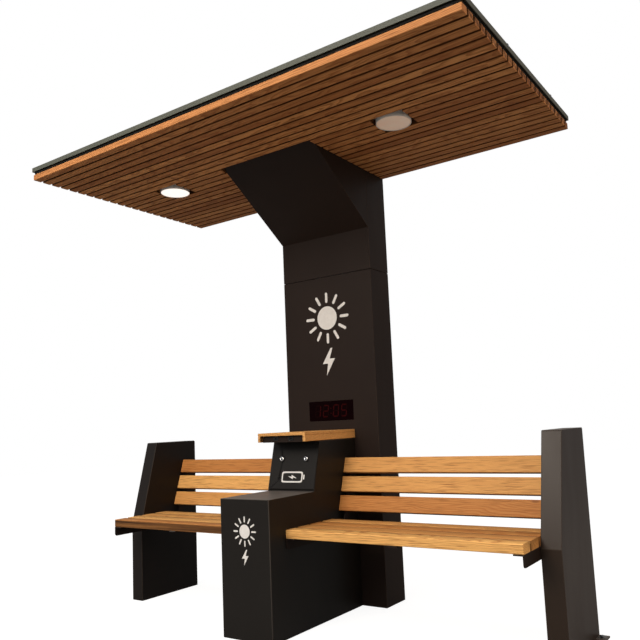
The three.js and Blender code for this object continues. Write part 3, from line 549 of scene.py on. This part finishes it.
digit_width, digit_height, bar_width, digit_slant = 30.0, 58.0, 6.5, 0.12
bar_inset = bar_width * 0.62                       # from the end of a bar's line to its round end
display_middle = (column_x, 411.0, 961.5)
segment_lines = {                                  # each bar's ends, as shares of the digit's half sizes
    "a": ((-1, 1), (1, 1)), "b": ((1, 1), (1, 0)), "c": ((1, 0), (1, -1)), "d": ((1, -1), (-1, -1)),
    "e": ((-1, -1), (-1, 0)), "f": ((-1, 0), (-1, 1)), "g": ((-1, 0), (1, 0)),
}
digit_bars = {"1": "bc", "2": "abged", "0": "abcdef", "5": "afgcd"}
bar_rings = {True: [], False: []}
for digit, digit_x in zip("1205", (-82.0, -32.0, 32.0, 82.0)):
    for letter, line in segment_lines.items():
        ends = np.array(line) * (digit_width / 2, digit_height / 2)
        reach = ends[1] - ends[0]
        outline = spoke(np.arctan2(reach[1], reach[0]), bar_inset,
                        np.linalg.norm(reach) - bar_inset, bar_width, 3) + ends[0]
        outline[:, 0] += digit_slant * outline[:, 1] + digit_x
        bar_rings[letter in digit_bars[digit]].append(film(outline, (display_middle, (1, 0, 0), (0, 0, 1))))
lit_bars = glowing("lit_display_bars", "#38090a", 0.05)
# The unlit bars also glow very faintly: a painted glow.
unlit_bars = glowing("unlit_display_bars_painted_glow", "#100303", 0.01)
place_piece("display_lit_bars", skin(np.array(bar_rings[True])), lit_bars)
place_piece("display_unlit_bars", skin(np.array(bar_rings[False])), unlit_bars)
colon_places = np.array(display_middle) + points(0, 0, np.array((-13, 13)))
colon_profile = [(0.05, 0.25), (3.2, 0.25), (3.4, 0.1), (3.4, 0.02), (0.05, 0.0)]
place_piece("display_colon", skin(turned(colon_profile, colon_places, (0, -1, 0), 20)), lit_bars)


# The charging console: one low box in front, with a sloping head behind it, folded and welded from
# 2.5 mm sheet and coated like the column. Its front wears the same mark at a smaller size.
console_coat = powder_coat("black_brown_powder_coated_steel", "#15120f", "#1c1815", "#45403b", 0.4, 0.2)
dress("console_shell", console_coat, 3.0, 0.4)
sun_and_bolt("console_sun_mark", (column_x, -275.0, 414), 0.47)

# The service door: a folded tray of coated sheet with a rolled lower edge, on a steel pin. Its battery
# mark is a film ring whose path is a superellipse, (cos a) ** s by (sin a) ** s, so almost a rectangle.
dress("console_door", console_coat, 2.2, 0.4, "door")
dress("door_hinge_pin", zinc, 0.0, 0.5)
slope_up = np.array((0.0, 0.245530, 0.969388))
slope_in = np.array((0.0, 0.969388, -0.245530))
slope_foot = np.array((column_x, 50.0, 589.0))
battery_plane = (slope_foot + 66 * slope_up, (1, 0, 0), slope_up)
case_half, case_wall, case_power = np.array((62, 26)), 7, 0.22
case_round = points(*circle(40))
case_path = case_half * np.sign(case_round) * np.abs(case_round) ** case_power
case_inner = case_path * ((case_half - case_wall) / case_half)
case_low = np.stack((case_path, case_path, case_inner, case_inner), axis=1)
case_out = np.array((film_gap_mm, film_mm, film_mm, film_gap_mm))[None, :, None]
case_rings = (battery_plane[0] + case_low[..., :1] * (1, 0, 0) + case_low[..., 1:] * slope_up
              - case_out * slope_in) / 1000
pole = np.array(((66, -11), (73, -11), (73, 11), (66, 11)), float)
small_bolt = 0.3 * bolt_outline @ np.array(((0, -1), (1, 0)))
place_piece("door_battery_mark", merged([
    skin(case_rings[None], wrapped=True),
    skin(film(pole, battery_plane)),
    skin(film(small_bolt * (1.35, 1.0), battery_plane)),
]), vinyl, "door")

# Two quarter-turn locks. Each is a chrome-plated plug, bright with a trace of haze, that has a black core
# and a key slot. It turns in a black bezel, and has a flat steel cam on its inner end.
chrome = clouded("chrome_plated_zinc", 240.0, 3.0,
                 {"Base Color": linear("#e8e9ea"), "Metallic": 1.0}, rough=(0.07, 0.14))
lock_plug = [(0.05, 3.8), (5.2, 3.8), (5.6, 4.9), (6.6, 5.9), (8.1, 6.3), (9.6, 5.9), (10.6, 4.9),
             (11.0, 3.6), (11.0, 1.0), (9.9, 0.2), (9.9, -17.0), (9.2, -21.4), (0.05, -21.8)]
lock_bezel = [(11.3, 0.35), (16.0, 0.35), (16.0, 2.2), (15.2, 3.8), (13.4, 4.4), (11.8, 4.0), (11.3, 3.0)]
lock_core = [(0.05, 4.9), (4.7, 4.9), (5.1, 4.6), (5.1, 3.9), (0.05, 3.9)]
lock_up, key_slot_level = 152.23, 4.92
cam_reach, cam_half, cam_outer, cam_inner = 66, 8, 17.5, 20.5
for lock_side, lock_x in (("left", -72.0), ("right", 72.0)):
    lock_name, lock_body = "lock_" + lock_side, lock_side + "_lock"
    lock_centre = slope_foot + (lock_x, 0, 0) + lock_up * slope_up
    cam_tip = lock_x - np.sign(lock_x) * cam_reach
    cam_low = (min(lock_x, cam_tip), cam_outer, lock_up - cam_half)
    cam_high = (max(lock_x, cam_tip), cam_inner, lock_up + cam_half)
    cam_flat = rounded_bars(cam_low, cam_high, 1.0, 0, 0.9, 2) * 1000
    cam_rings = (slope_foot + cam_flat[..., :1] * (1, 0, 0) + cam_flat[..., 1:2] * slope_in
                 + cam_flat[..., 2:] * slope_up) / 1000
    plug = skin(turned(lock_plug, lock_centre, -slope_in, 48))
    place_piece(lock_name + "_plug", merged([plug, skin(cam_rings)]), chrome, lock_body, lock_name)
    bezel_rings = np.swapaxes(turned(lock_bezel, lock_centre, -slope_in, 48)[0], 0, 1)
    place_piece(lock_name + "_bezel", skin(bezel_rings[None], wrapped=True), black_plastic, lock_body)
    core = skin(turned(lock_core, lock_centre, -slope_in, 32))
    place_piece(lock_name + "_core", core, black_plastic, lock_body)
    key_slot = film(spoke(0.0, -2.6, 2.6, 2.2),
                    (lock_centre - key_slot_level * slope_in, (1, 0, 0), slope_up))
    place_piece(lock_name + "_keyway", skin(key_slot), chrome, lock_body)


# Behind the door: the battery on its shelf, the charge controller, and the lead that comes down the
# post from the roof.
battery_plastic = moulded_plastic("grey_battery_abs", "#33363a", "#3d4044", 0.55)
battery_case_low, battery_case_high = (-203.5, -210.7, 63.3), (13.5, -43.7, 246.0)
place_piece("battery_case", skin(rounded_bars(battery_case_low, battery_case_high, 7.0, 2, 0.5)),
            battery_plastic, node="battery")
place_piece("battery_lid", skin(rounded_bars((-205.0, -212.2, 246.3), (15.0, -42.2, 283.3), 7.0, 2, 0.6)),
            battery_plastic)
rib_x = np.linspace(-185, -5, 7)
rib_rings = rounded_bars(points(rib_x - 5, -212.1, 92.0), points(rib_x + 5, -42.3, 236.0), 1.2, 2, 0.8, 2)
place_piece("battery_ribs", skin(rib_rings), battery_plastic)
# The terminals are cast lead, a soft metal that goes dull and blotchy grey.
lead_metal = clouded("dull_cast_lead", 180.0, 3.0, {"Metallic": 1.0, "Roughness": 0.5},
                     ("#7d8084", "#9a9da0"))
terminal_profile = [(0.05, 12.0), (5.0, 12.0), (5.7, 11.3), (6.0, 0.4), (9.0, 0.2), (9.0, -1.0), (0.05, -1.0)]
terminal_places = [(column_x + sx * 60, -127.2, 283.3) for sx in (-1, 1)]
place_piece("battery_terminals", skin(turned(terminal_profile, terminal_places, (0, 0, 1), 28)), lead_metal)
dress("charge_controller", black_plastic, 2.0, 0.4)

lead_y, lead_out_z, lead_bend, lead_radius = 473.0, 700.0, 30.0, 5.0
lead_top_z, lead_end_y = 2218.3, 342.3
bend_turn = np.linspace(0, np.pi / 2, 13)
lead_path = np.concatenate((
    points(lead_y, np.linspace(lead_top_z, lead_out_z + lead_bend + 5, 9)),
    points(lead_y - lead_bend * (1 - np.cos(bend_turn)), lead_out_z + lead_bend * (1 - np.sin(bend_turn))),
    points(np.linspace(lead_y - lead_bend - 5, lead_end_y, 4), lead_out_z),
))


def tube(path, x, radius, sides=20):
    """A round tube round a path of (y, z) points in mm at one x: each ring stands square to the path's
    direction, found from the neighbouring points."""
    along = np.gradient(path, axis=0)
    along /= np.linalg.norm(along, axis=1, keepdims=True)
    cos, sin = circle(sides)
    return points(x + radius * cos, path[:, :1] - radius * sin * along[:, 1:],
                  path[:, 1:] + radius * sin * along[:, :1]) / 1000


black_sheath = moulded_plastic("black_pvc_sheath", "#121212", "#1a1a1a", 0.6, 3.0)
place_piece("panel_lead_finished", skin(tube(lead_path, column_x, lead_radius)), black_sheath,
            node="panel_lead")


# The charging tray: a top board and two cheeks of oiled hardwood, and between the cheeks a coated
# plate with two USB sockets.
def oiled_wood(name, light, dark, pore, ring_mm, sheen=0.2):
    """Planed hardwood under oil. Growth rings are circles round a trunk axis that lies beside the board:
    ring = fract(radius / ring_mm + drift), with a drift that changes slowly along the grain, so that a
    flat face shows long waves. Real rings are 2 to 4 mm and are drawn wider to show. Each board's own
    `grain` moves the pattern, and its `tone` makes it paler or redder."""
    wood, tree, shader = material(name)
    place = add(tree, "TexCoord").outputs["Object"]
    grain = add(tree, "Attribute", attribute_name="grain").outputs["Vector"]
    moved = add(tree, "VectorMath", {0: place, 1: grain}, operation="ADD")
    tilted = add(tree, "Mapping", {"Vector": moved, "Rotation": (0.0, 0.035, 0.05)})
    slow = add(tree, "Mapping", {"Vector": tilted, "Scale": (3.2, 14.0, 14.0)})
    drift = add(tree, "TexNoise", {"Vector": slow, "Scale": 1.0, "Detail": 2.5, "Roughness": 0.45})
    fibre_scale = add(tree, "Mapping", {"Vector": moved, "Scale": (11.0, 270.0, 270.0)})
    fibre = add(tree, "TexNoise", {"Vector": fibre_scale, "Scale": 1.0, "Detail": 3.0})
    streak_scale = add(tree, "Mapping", {"Vector": moved, "Scale": (1.1, 70.0, 70.0)})
    streak = add(tree, "TexNoise", {"Vector": streak_scale, "Scale": 1.0, "Detail": 2.0})
    # Knots: sparse points in the wood, each a spot 10 mm across that bends the rings round it.
    knot_scale = add(tree, "Mapping", {"Vector": moved, "Scale": (4.0, 11.0, 11.0)})
    knots = add(tree, "TexVoronoi", {"Vector": knot_scale, "Scale": 1.0})
    knot = add(tree, "MapRange", {
        "Value": knots, "From Min": 0.03, "From Max": 0.1, "To Min": 0.7, "To Max": 0.0,
    }, interpolation_type="SMOOTHSTEP")
    across = add(tree, "VectorMath", {0: tilted, 1: (0.0, 1.0, 1.0)}, operation="MULTIPLY")
    radius = add(tree, "VectorMath", {0: across}, operation="LENGTH")
    rings = add(tree, "Math", {0: radius, 1: 1000 / ring_mm}, operation="MULTIPLY")
    waved = add(tree, "Math", {0: drift, 1: 8.0, 2: rings}, operation="MULTIPLY_ADD")
    bent = add(tree, "Math", {0: knot, 1: 1.6, 2: waved}, operation="MULTIPLY_ADD")
    year = add(tree, "Math", {0: bent}, operation="FRACT")
    late = add(tree, "MapRange", {"Value": year, "From Min": 0.35, "From Max": 0.92},
               interpolation_type="SMOOTHSTEP")
    fresh = add(tree, "MapRange", {"Value": year, "From Min": 0.92, "To Min": 1.0, "To Max": 0.0})
    ring_dark = add(tree, "Math", {0: late, 1: fresh}, operation="MULTIPLY")
    ring_share = add(tree, "Math", {0: ring_dark, 1: 0.75}, operation="MULTIPLY")
    base = add(tree, "Mix", {0: ring_share, 6: linear(light), 7: linear(dark)}, data_type="RGBA")
    tone = add(tree, "Attribute", attribute_name="tone").outputs["Fac"]
    streaky = add(tree, "Math", {0: streak, 1: 0.35, 2: tone}, operation="MULTIPLY_ADD")
    toned = add(tree, "Mix", {0: streaky, 6: base, 7: linear(dark)}, data_type="RGBA")
    pore_share = add(tree, "MapRange", {"Value": fibre, "From Min": 0.5, "From Max": 0.74, "To Max": 0.7})
    pored = add(tree, "Mix", {0: pore_share, 6: toned, 7: linear(pore)}, data_type="RGBA")
    knotted = add(tree, "Mix", {0: knot, 6: pored, 7: linear(pore)}, data_type="RGBA")
    # Painted shade: a dark brown, in patches, on the sides of a board where shade falls.
    painted_shade = add(tree, "Attribute", attribute_name="painted_shade").outputs["Fac"]
    patchy = add(tree, "MapRange", {
        "Value": streak, "From Min": 0.3, "From Max": 0.65, "To Min": 0.55, "To Max": 0.95,
    })
    painted_shade_share = add(tree, "Math", {0: painted_shade, 1: patchy}, operation="MULTIPLY")
    height = add(tree, "Math", {0: fibre, 1: ring_dark}, operation="SUBTRACT")
    feed(shader, {
        "Base Color": add(tree, "Mix", {0: painted_shade_share, 6: knotted, 7: linear("#2e1808")}, data_type="RGBA"),
        "Roughness": add(tree, "MapRange", {"Value": fibre, "To Min": 0.47, "To Max": 0.69}),
        "Normal": add(tree, "Bump", {"Height": height, "Strength": 0.18, "Distance": 0.0006}),
        "Specular IOR Level": sheen,
    })
    return wood


def grained(mesh, boards, seed, tones=(0.0, 0.35), shaded_sides=(), arc_steps=4, shade_strength=1.0, rear=0.0):
    """Gives each board of a mesh its own place in the grain, from a seeded draw, and its own tone, drawn
    between two values or given. Painted shade darkens the sides of the section that look along the angles
    `shaded_sides`, in degrees from the section's first axis: shade_strength * (1 - (angle between) / 60), at
    least 0. It stands for the shade in gaps, under boards and in recesses. The edge between the section's
    two axes takes the painted shade share `rear`, which fades out across the face."""
    draw = np.random.default_rng(seed)
    offsets = draw.uniform((-9, 0.03, 0.03), (9, 0.11, 0.11), (boards, 3))
    board_tones = np.array(tones) if len(tones) == boards else draw.uniform(*tones, boards)
    each = len(mesh.vertices) // boards
    section = (np.arange(4)[:, None] * 90 + np.linspace(0, 90, arc_steps + 1)).ravel()
    painted_shade = np.zeros(len(section))
    for angle in shaded_sides:
        between = np.abs((section - angle + 180) % 360 - 180)
        painted_shade = np.maximum(painted_shade, np.clip(1 - between / 60, 0, 1))
    painted_shade[:arc_steps + 1] = np.maximum(painted_shade[:arc_steps + 1], rear)
    mesh.attributes.new("grain", "FLOAT_VECTOR", "POINT").data.foreach_set(
        "vector", np.repeat(offsets, each, axis=0).astype(np.float32).ravel())
    painted_shade = np.tile(painted_shade, len(mesh.vertices) // len(painted_shade)) * np.repeat(np.broadcast_to(shade_strength, boards), each)
    for layer, values in (("tone", np.repeat(board_tones, each)), ("painted_shade", painted_shade)):
        mesh.attributes.new(layer, "FLOAT", "POINT").data.foreach_set("value", values.astype(np.float32))
    return mesh


tray_wood = oiled_wood("oiled_tray_hardwood", "#e9b36c", "#b87c42", "#7a4a22", 7.0)
tray_boards = {                                    # low and high corner, and the angle of the side with painted shade
    "tray_top": ((-236.5, -7.0, 849.0), (46.5, 411.7, 863.0), ()),
    "tray_side_left": ((-236.5, -7.0, 820.0), (-220.5, 411.7, 848.7), (90,)),
    "tray_side_right": ((30.5, -7.0, 820.0), (46.5, 411.7, 848.7), (270,)),
}
# Each cheek's inner face, towards the socket plate, gets painted shade from the recess.
for tray_index, (tray_node, (tray_low, tray_high, inner_side)) in enumerate(tray_boards.items()):
    tray_mesh = grained(skin(rounded_bars(tray_low, tray_high, 2.2, 1, 0.8)), 1, 31 + tray_index,
                        shaded_sides=inner_side)
    place_piece(tray_node + "_board", tray_mesh, tray_wood, node=tray_node)
dress("socket_plate", brown_coat, 1.2, 0.3)


def rim(centre, half, profile, axis=2):
    """A profile of (inset, level) points in mm, carried round a rectangle of half sizes `half` about a
    centre. The level runs along `axis`. Returns rings in metres, to be wrapped."""
    profile = np.array(profile, float)
    across = [i for i in range(3) if i != axis]
    rings = np.zeros((1, len(profile), 4, 3))
    corners = np.array(((1, 1), (-1, 1), (-1, -1), (1, -1)))
    rings[..., across] = np.array(centre) + corners * (np.array(half) - profile[:, None, :1])
    rings[..., axis] = profile[:, 1:]
    return rings / 1000


# The sockets' shields are pressed from nickel-plated sheet, a grey metal with a fine uneven sheen.
port_steel = clouded("stamped_nickel_steel", 500.0, 2.0,
                     {"Base Color": linear("#6c6d6f"), "Metallic": 1.0}, rough=(0.2, 0.4))
for socket_side, socket_x in (("left", -140.0), ("right", -50.0)):
    dress("usb_socket_" + socket_side, black_plastic, 0.9, 0.25, fold_width=3)
    tongue_low, tongue_high = (socket_x - 5, 11.5, 835.0), (socket_x + 5, 24.5, 836.7)
    place_piece("usb_tongue_" + socket_side, skin(rounded_bars(tongue_low, tongue_high, 0.5, 1, 0.8, 2)),
                black_plastic)
    shield_rings = rim((socket_x, 834.5), (6.2, 2.5), ((0, 9.3), (0, 24.8), (0.35, 24.8), (0.35, 9.3)), 1)
    place_piece("usb_shield_" + socket_side, skin(shield_rings, wrapped=True), port_steel)


# The roof's wooden ceiling: 23 rows of planed slats of oiled hardwood, hung from flat steel bars. The
# front ten run the whole width, and the others stop at the column. Three rows are cut for the lamps.
roof_wood = oiled_wood("oiled_roof_hardwood", "#e2a164", "#9a5f37", "#5f3a1c", 8.0, 0.06)
slat_width, slat_pitch, slat_front, slat_end = 39.87, 51.37, -585.0, 1175.0
slat_low_z, slat_high_z = 2186.0, 2214.0
lamp_x = {"left": -779.4, "right": 589.4}
lamp_half, lamp_rows = 81.5, (10, 11, 12)
roof_spans = {
    "roof_slats_front": (range(0, 10), (-slat_end, slat_end)),
    "roof_slats_left": (range(10, 23), (-slat_end, -377.0)),
    "roof_slats_right": (range(10, 23), (187.0, slat_end)),
}
for roof_index, (roof_node, (rows, span)) in enumerate(roof_spans.items()):
    slats = []
    for row in rows:
        cuts = [*span]
        if row in lamp_rows:
            inside = [x for x in lamp_x.values() if span[0] < x < span[1]]
            cuts = sorted(cuts + [x + s * lamp_half for x in inside for s in (-1, 1)])
        slats += [(cuts[i], cuts[i + 1], row) for i in range(0, len(cuts), 2)]
    slat_x0, slat_x1, slat_row = np.array(slats, float).T
    front = slat_front + slat_row * slat_pitch
    slat_rings = rounded_bars(points(slat_x0, front, slat_low_z),
                              points(slat_x1, front + slat_width, slat_high_z), 2.5, 0, 0.8, 3)
    # Painted shade on both long sides of each slat, in the gaps; the front row, whose face is the fascia,
    # gets none.
    roof_mesh = grained(skin(slat_rings), len(slats), 51 + roof_index, (0.0, 0.7), (0, 180), 3,
                        np.minimum(slat_row, 1))
    place_piece(roof_node + "_boards", roof_mesh, roof_wood, node=roof_node)

hanger_x = np.array((-1130.0, -890.9, -667.9, -392.0, 202.0, 477.9, 700.9, 1130.0))
hanger_rings = rounded_bars(points(hanger_x - 15, -584.0, 2214.2), points(hanger_x + 15, 584.0, 2218.0),
                            0.8, 1, 0.8, 2)
place_piece("roof_hanger_bars", skin(hanger_rings), brown_coat)

# The roof's edge: a shallow tray of coated aluminium sheet, whose rim hides the beams and holds the
# solar panels. Two spring clips sit on its right-hand edge.
rim_coat = powder_coat("grey_green_powder_coated_aluminium", "#4b4d45", "#55574e", "#6b6d64", 0.5, 0.15)
roof_half = (1180, 590)
rim_profile = (
    (0.0, 2228.6), (0.0, 2248.8), (0.3, 2249.6), (1.0, 2249.9), (2.4, 2249.9), (2.9, 2249.4),
    (3.0, 2244.0), (3.0, 2228.6), (2.6, 2228.2), (0.4, 2228.2),
)
shadow_gap_profile = ((9.0, 2218.2), (9.0, 2230.0), (12.0, 2230.0), (12.0, 2218.2))
deck_low, deck_high = (-1177.2, -587.2, 2242.9), (1177.2, 587.2, 2244.5)
place_piece("roof_tray_finished", merged([
    skin(rim((0, 0), roof_half, rim_profile), wrapped=True),
    skin(rounded_bars(deck_low, deck_high, 0.5, 0, 0.9, 2)),
]), rim_coat, node="roof_tray")
# Behind the rim, a strip of dull, grainy black foam fills the recess. Its black is painted shade: it
# stands for the shadow gap between the rim and the slats.
shadow_gap_foam = moulded_plastic("black_foam_painted_shadow_gap", "#0b0a09", "#12100f", 0.9, 4.0)
place_piece("roof_rim_shadow_gap_strip", skin(rim((0, 0), roof_half, shadow_gap_profile), wrapped=True), shadow_gap_foam)
clip_y = np.array((-182.0, 329.0))
clip_rings = rounded_bars(points(1168.0, clip_y - 7, 2238.0), points(1181.6, clip_y + 7, 2251.2),
                          1.6, 1, 0.8, 3)
place_piece("rim_clips", skin(clip_rings), port_steel)

# Two recessed lamps: a white enamelled drum, glassy and even, with a rolled lip, and a pressed opal
# diffuser with concentric steps. Both hang from a steel strap.
enamel = clouded("white_enamelled_steel", 25.0, 3.0, {"Roughness": 0.35},
                 ("#dcd9d4", "#cbc7c1"))


def opal(name, colour, glow):
    """Opal acrylic in front of a light: pale, slightly warm and softly glossy."""
    return clouded(name, 18.0, 2.0, {
        "Roughness": 0.3, "Subsurface Weight": 0.1,
        "Emission Color": linear(colour), "Emission Strength": glow,
    }, (colour, "#e6dccd"))


drum_profile = [(0.05, 38.0), (76.5, 38.0), (77.5, 37.0), (77.5, -5.4), (77.2, -6.6), (76.2, -7.0),
                (75.1, -6.6), (74.8, -5.4), (74.6, 17.0), (74.0, 18.0), (0.05, 18.0)]
step_radius = np.array((0.05, 12, 14, 26, 28, 40, 42, 54, 56, 66, 70, 74.2))
step_height = np.array((-5.9, -5.9, -5.5, -5.9, -5.5, -5.9, -5.5, -5.9, -5.5, -5.9, -5.6, -4.2))
diffuser_profile = [*zip(step_radius, step_height), (74.2, -3.2), (0.05, -3.0)]
opals = {
    "left": opal("lit_opal_acrylic", "#fff5f0", 0.9),
    # The right lamp is unlit, and the faint glow of its diffuser is painted light.
    "right": opal("unlit_opal_acrylic_painted_glow", "#e6bea2", 0.185),
}
for lamp_side, x in lamp_x.items():
    lamp_mouth = (x, 0.0, slat_low_z)
    place_piece("lamp_drum_" + lamp_side, skin(turned(drum_profile, lamp_mouth, (0, 0, 1), 72)), enamel,
                node="lamp_housing_" + lamp_side)
    strap_low, strap_high = (x - 111.5, -20.0, 2218.3), (x + 111.5, 20.0, 2220.3)
    place_piece("lamp_strap_" + lamp_side, skin(rounded_bars(strap_low, strap_high, 0.7, 0, 0.9, 2)), zinc)
    place_piece("lamp_diffuser_" + lamp_side + "_opal",
                skin(turned(diffuser_profile, lamp_mouth, (0, 0, 1), 72)), opals[lamp_side],
                node="lamp_diffuser_" + lamp_side)

# On the deck: two solar panels of monocrystalline cells under glass, each in a thin anodised frame, and
# below it the junction box for their leads. The cells are blue-black and crossed by fine silver lines.
cells, cells_tree, cells_shader = material("monocrystalline_cells_under_glass")
cells_place = add(cells_tree, "TexCoord").outputs["Object"]
cells_axes = add(cells_tree, "SeparateXYZ", {"Vector": cells_place}).outputs


def line_share(axis, pitch_mm, line_mm, shift_mm):
    """1 on lines of `line_mm` that repeat each `pitch_mm` along an axis, and 0 between them."""
    cell = add(cells_tree, "Math", {0: cells_axes[axis], 1: shift_mm / 1000}, operation="ADD")
    share = add(cells_tree, "Math", {0: cell, 1: 1000 / pitch_mm}, operation="MULTIPLY")
    part = add(cells_tree, "Math", {0: share}, operation="FRACT")
    return add(cells_tree, "Math", {0: part, 1: line_mm / pitch_mm}, operation="LESS_THAN")


cells_gap = add(cells_tree, "Math", {
    0: line_share("X", 116.0, 3.0, 1.5), 1: line_share("Y", 116.0, 3.0, 1.5),
}, operation="MAXIMUM")
cells_bars = line_share("X", 23.2, 1.2, 12.0)
cells_cloud = add(cells_tree, "TexNoise", {"Vector": cells_place, "Scale": 7.0, "Detail": 3.0})
cells_tone = add(cells_tree, "Mix", {0: cells_cloud, 6: linear("#0b1222"), 7: linear("#141d33")},
                 data_type="RGBA")
cells_wired = add(cells_tree, "Mix", {0: cells_bars, 6: cells_tone, 7: linear("#7d8288")},
                  data_type="RGBA")
feed(cells_shader, {
    "Base Color": add(cells_tree, "Mix", {0: cells_gap, 6: cells_wired, 7: linear("#c9ccce")},
                      data_type="RGBA"),
    "Roughness": 0.3, "Specular IOR Level": 0.2, "Coat Weight": 0.35, "Coat Roughness": 0.1,
})
# Anodised aluminium, drawn through a die: pale and dull, with fine lines along its length.
frame_metal = clouded("anodised_aluminium", 1.0, 2.0,
                      {"Base Color": linear("#a8abad"), "Metallic": 1.0}, rough=(0.3, 0.5),
                      stretch=(8.0, 300.0, 300.0))
frame_width, panel_half_y = 9.0, 583.0
frame_profile = ((0.0, 2244.9), (0.0, 2249.5), (0.4, 2249.9), (frame_width - 0.6, 2249.9),
                 (frame_width - 0.2, 2249.5), (frame_width - 0.2, 2244.9))
for panel_side, (x0, x1) in (("left", (-1173.0, -2.0)), ("right", (2.0, 1173.0))):
    glass_low = (x0 + frame_width, -panel_half_y + frame_width, 2245.0)
    glass_high = (x1 - frame_width, panel_half_y - frame_width, 2249.2)
    place_piece("solar_glass_" + panel_side, skin(rounded_bars(glass_low, glass_high, 0.6, 0, 0.9, 2)),
                cells, node="solar_panel_" + panel_side)
    frame_rings = rim(((x0 + x1) / 2, 0.0), ((x1 - x0) / 2, panel_half_y), frame_profile)
    place_piece("solar_frame_" + panel_side, skin(frame_rings, wrapped=True), frame_metal)
dress("junction_box", black_plastic, 2.5, 0.4)


# The end supports: closed boxes of 4 mm coated sheet, each with a floor foot on its outer side. They wear a
# lit and a shaded copy of one coat: the left one's darker coat is painted shade. The seat frames are welded
# from flat bar and square tube in the column's coat.
support_coats = {
    "left": powder_coat("painted_shade_powder_coated_steel", "#181310", "#1e1815", "#3f362e", 0.4, 0.16),
    "right": powder_coat("lit_powder_coated_steel", "#291e17", "#31261d", "#3f362e", 0.36, 0.23),
}
for side, support_coat in support_coats.items():
    dress("end_support_" + side, support_coat, 2.5, 0.5)
    dress("seat_frame_" + side, brown_coat, 1.0, 0.4)

# Seat and backrest boards: four and three a side, of planed and oiled hardwood with rounded edges. The
# backrest boards are made upright, then leaned back about their lowest front edge.
bench_wood = oiled_wood("oiled_bench_hardwood", "#f3bc70", "#b06a30", "#7e4a24", 5.0)
seat_spans = {"left": (-1092.7, -233.8), "right": (43.8, 1092.7)}
back_foot_y, back_foot_z, back_lean = 239.0, 481.0, np.radians(17.3)
back_width, back_pitch, back_thick = 73.5, 92.0, 28.0
# Each board's tone, listed; the first left seat board is listed darker, as painted shade.
board_tones = {
    "seat_left": (0.55, -0.15, 0.1, -0.1), "seat_right": (-0.15, 0.3, 0.5, 0.1),
    "back_left": (0.2, -0.15, 0.6), "back_right": (0.6, 0.1, 0.12),
}
for side_index, (side, (x0, x1)) in enumerate(seat_spans.items()):
    for i, tone in enumerate(board_tones["seat_" + side]):
        node = f"seat_slat_{side}_{i + 1}"
        low, high = np.array(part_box(node)) * 1000
        # Painted shade: the rear boards darken on their front sides, towards the gaps, and each board on its
        # rear top edge; the first left board darkens on its front face.
        seat_shaded_sides = (165,) if i else (180,) if side == "left" else ()
        seat_mesh = grained(skin(rounded_bars(low, high, 4.0, 0, 0.4)), 1, 71 + 10 * side_index + i,
                            [tone], seat_shaded_sides, rear=0.5)
        place_piece(node + "_board", seat_mesh, bench_wood, node=node)
    for i, tone in enumerate(board_tones["back_" + side]):
        node = f"back_slat_{side}_{i + 1}"
        leaned = rounded_bars((x0, 0, i * back_pitch), (x1, back_thick, i * back_pitch + back_width),
                              4.0, 0, 0.6)
        y, z = leaned[..., 1].copy(), leaned[..., 2].copy()
        leaned[..., 1] = y * np.cos(back_lean) + z * np.sin(back_lean) + back_foot_y / 1000
        leaned[..., 2] = z * np.cos(back_lean) - y * np.sin(back_lean) + back_foot_z / 1000
        # Painted shadow along the bottom edge of each backrest board.
        back_mesh = grained(skin(leaned), 1, 91 + 10 * side_index + i, [tone], (270,))
        place_piece(node + "_board", back_mesh, bench_wood, node=node)
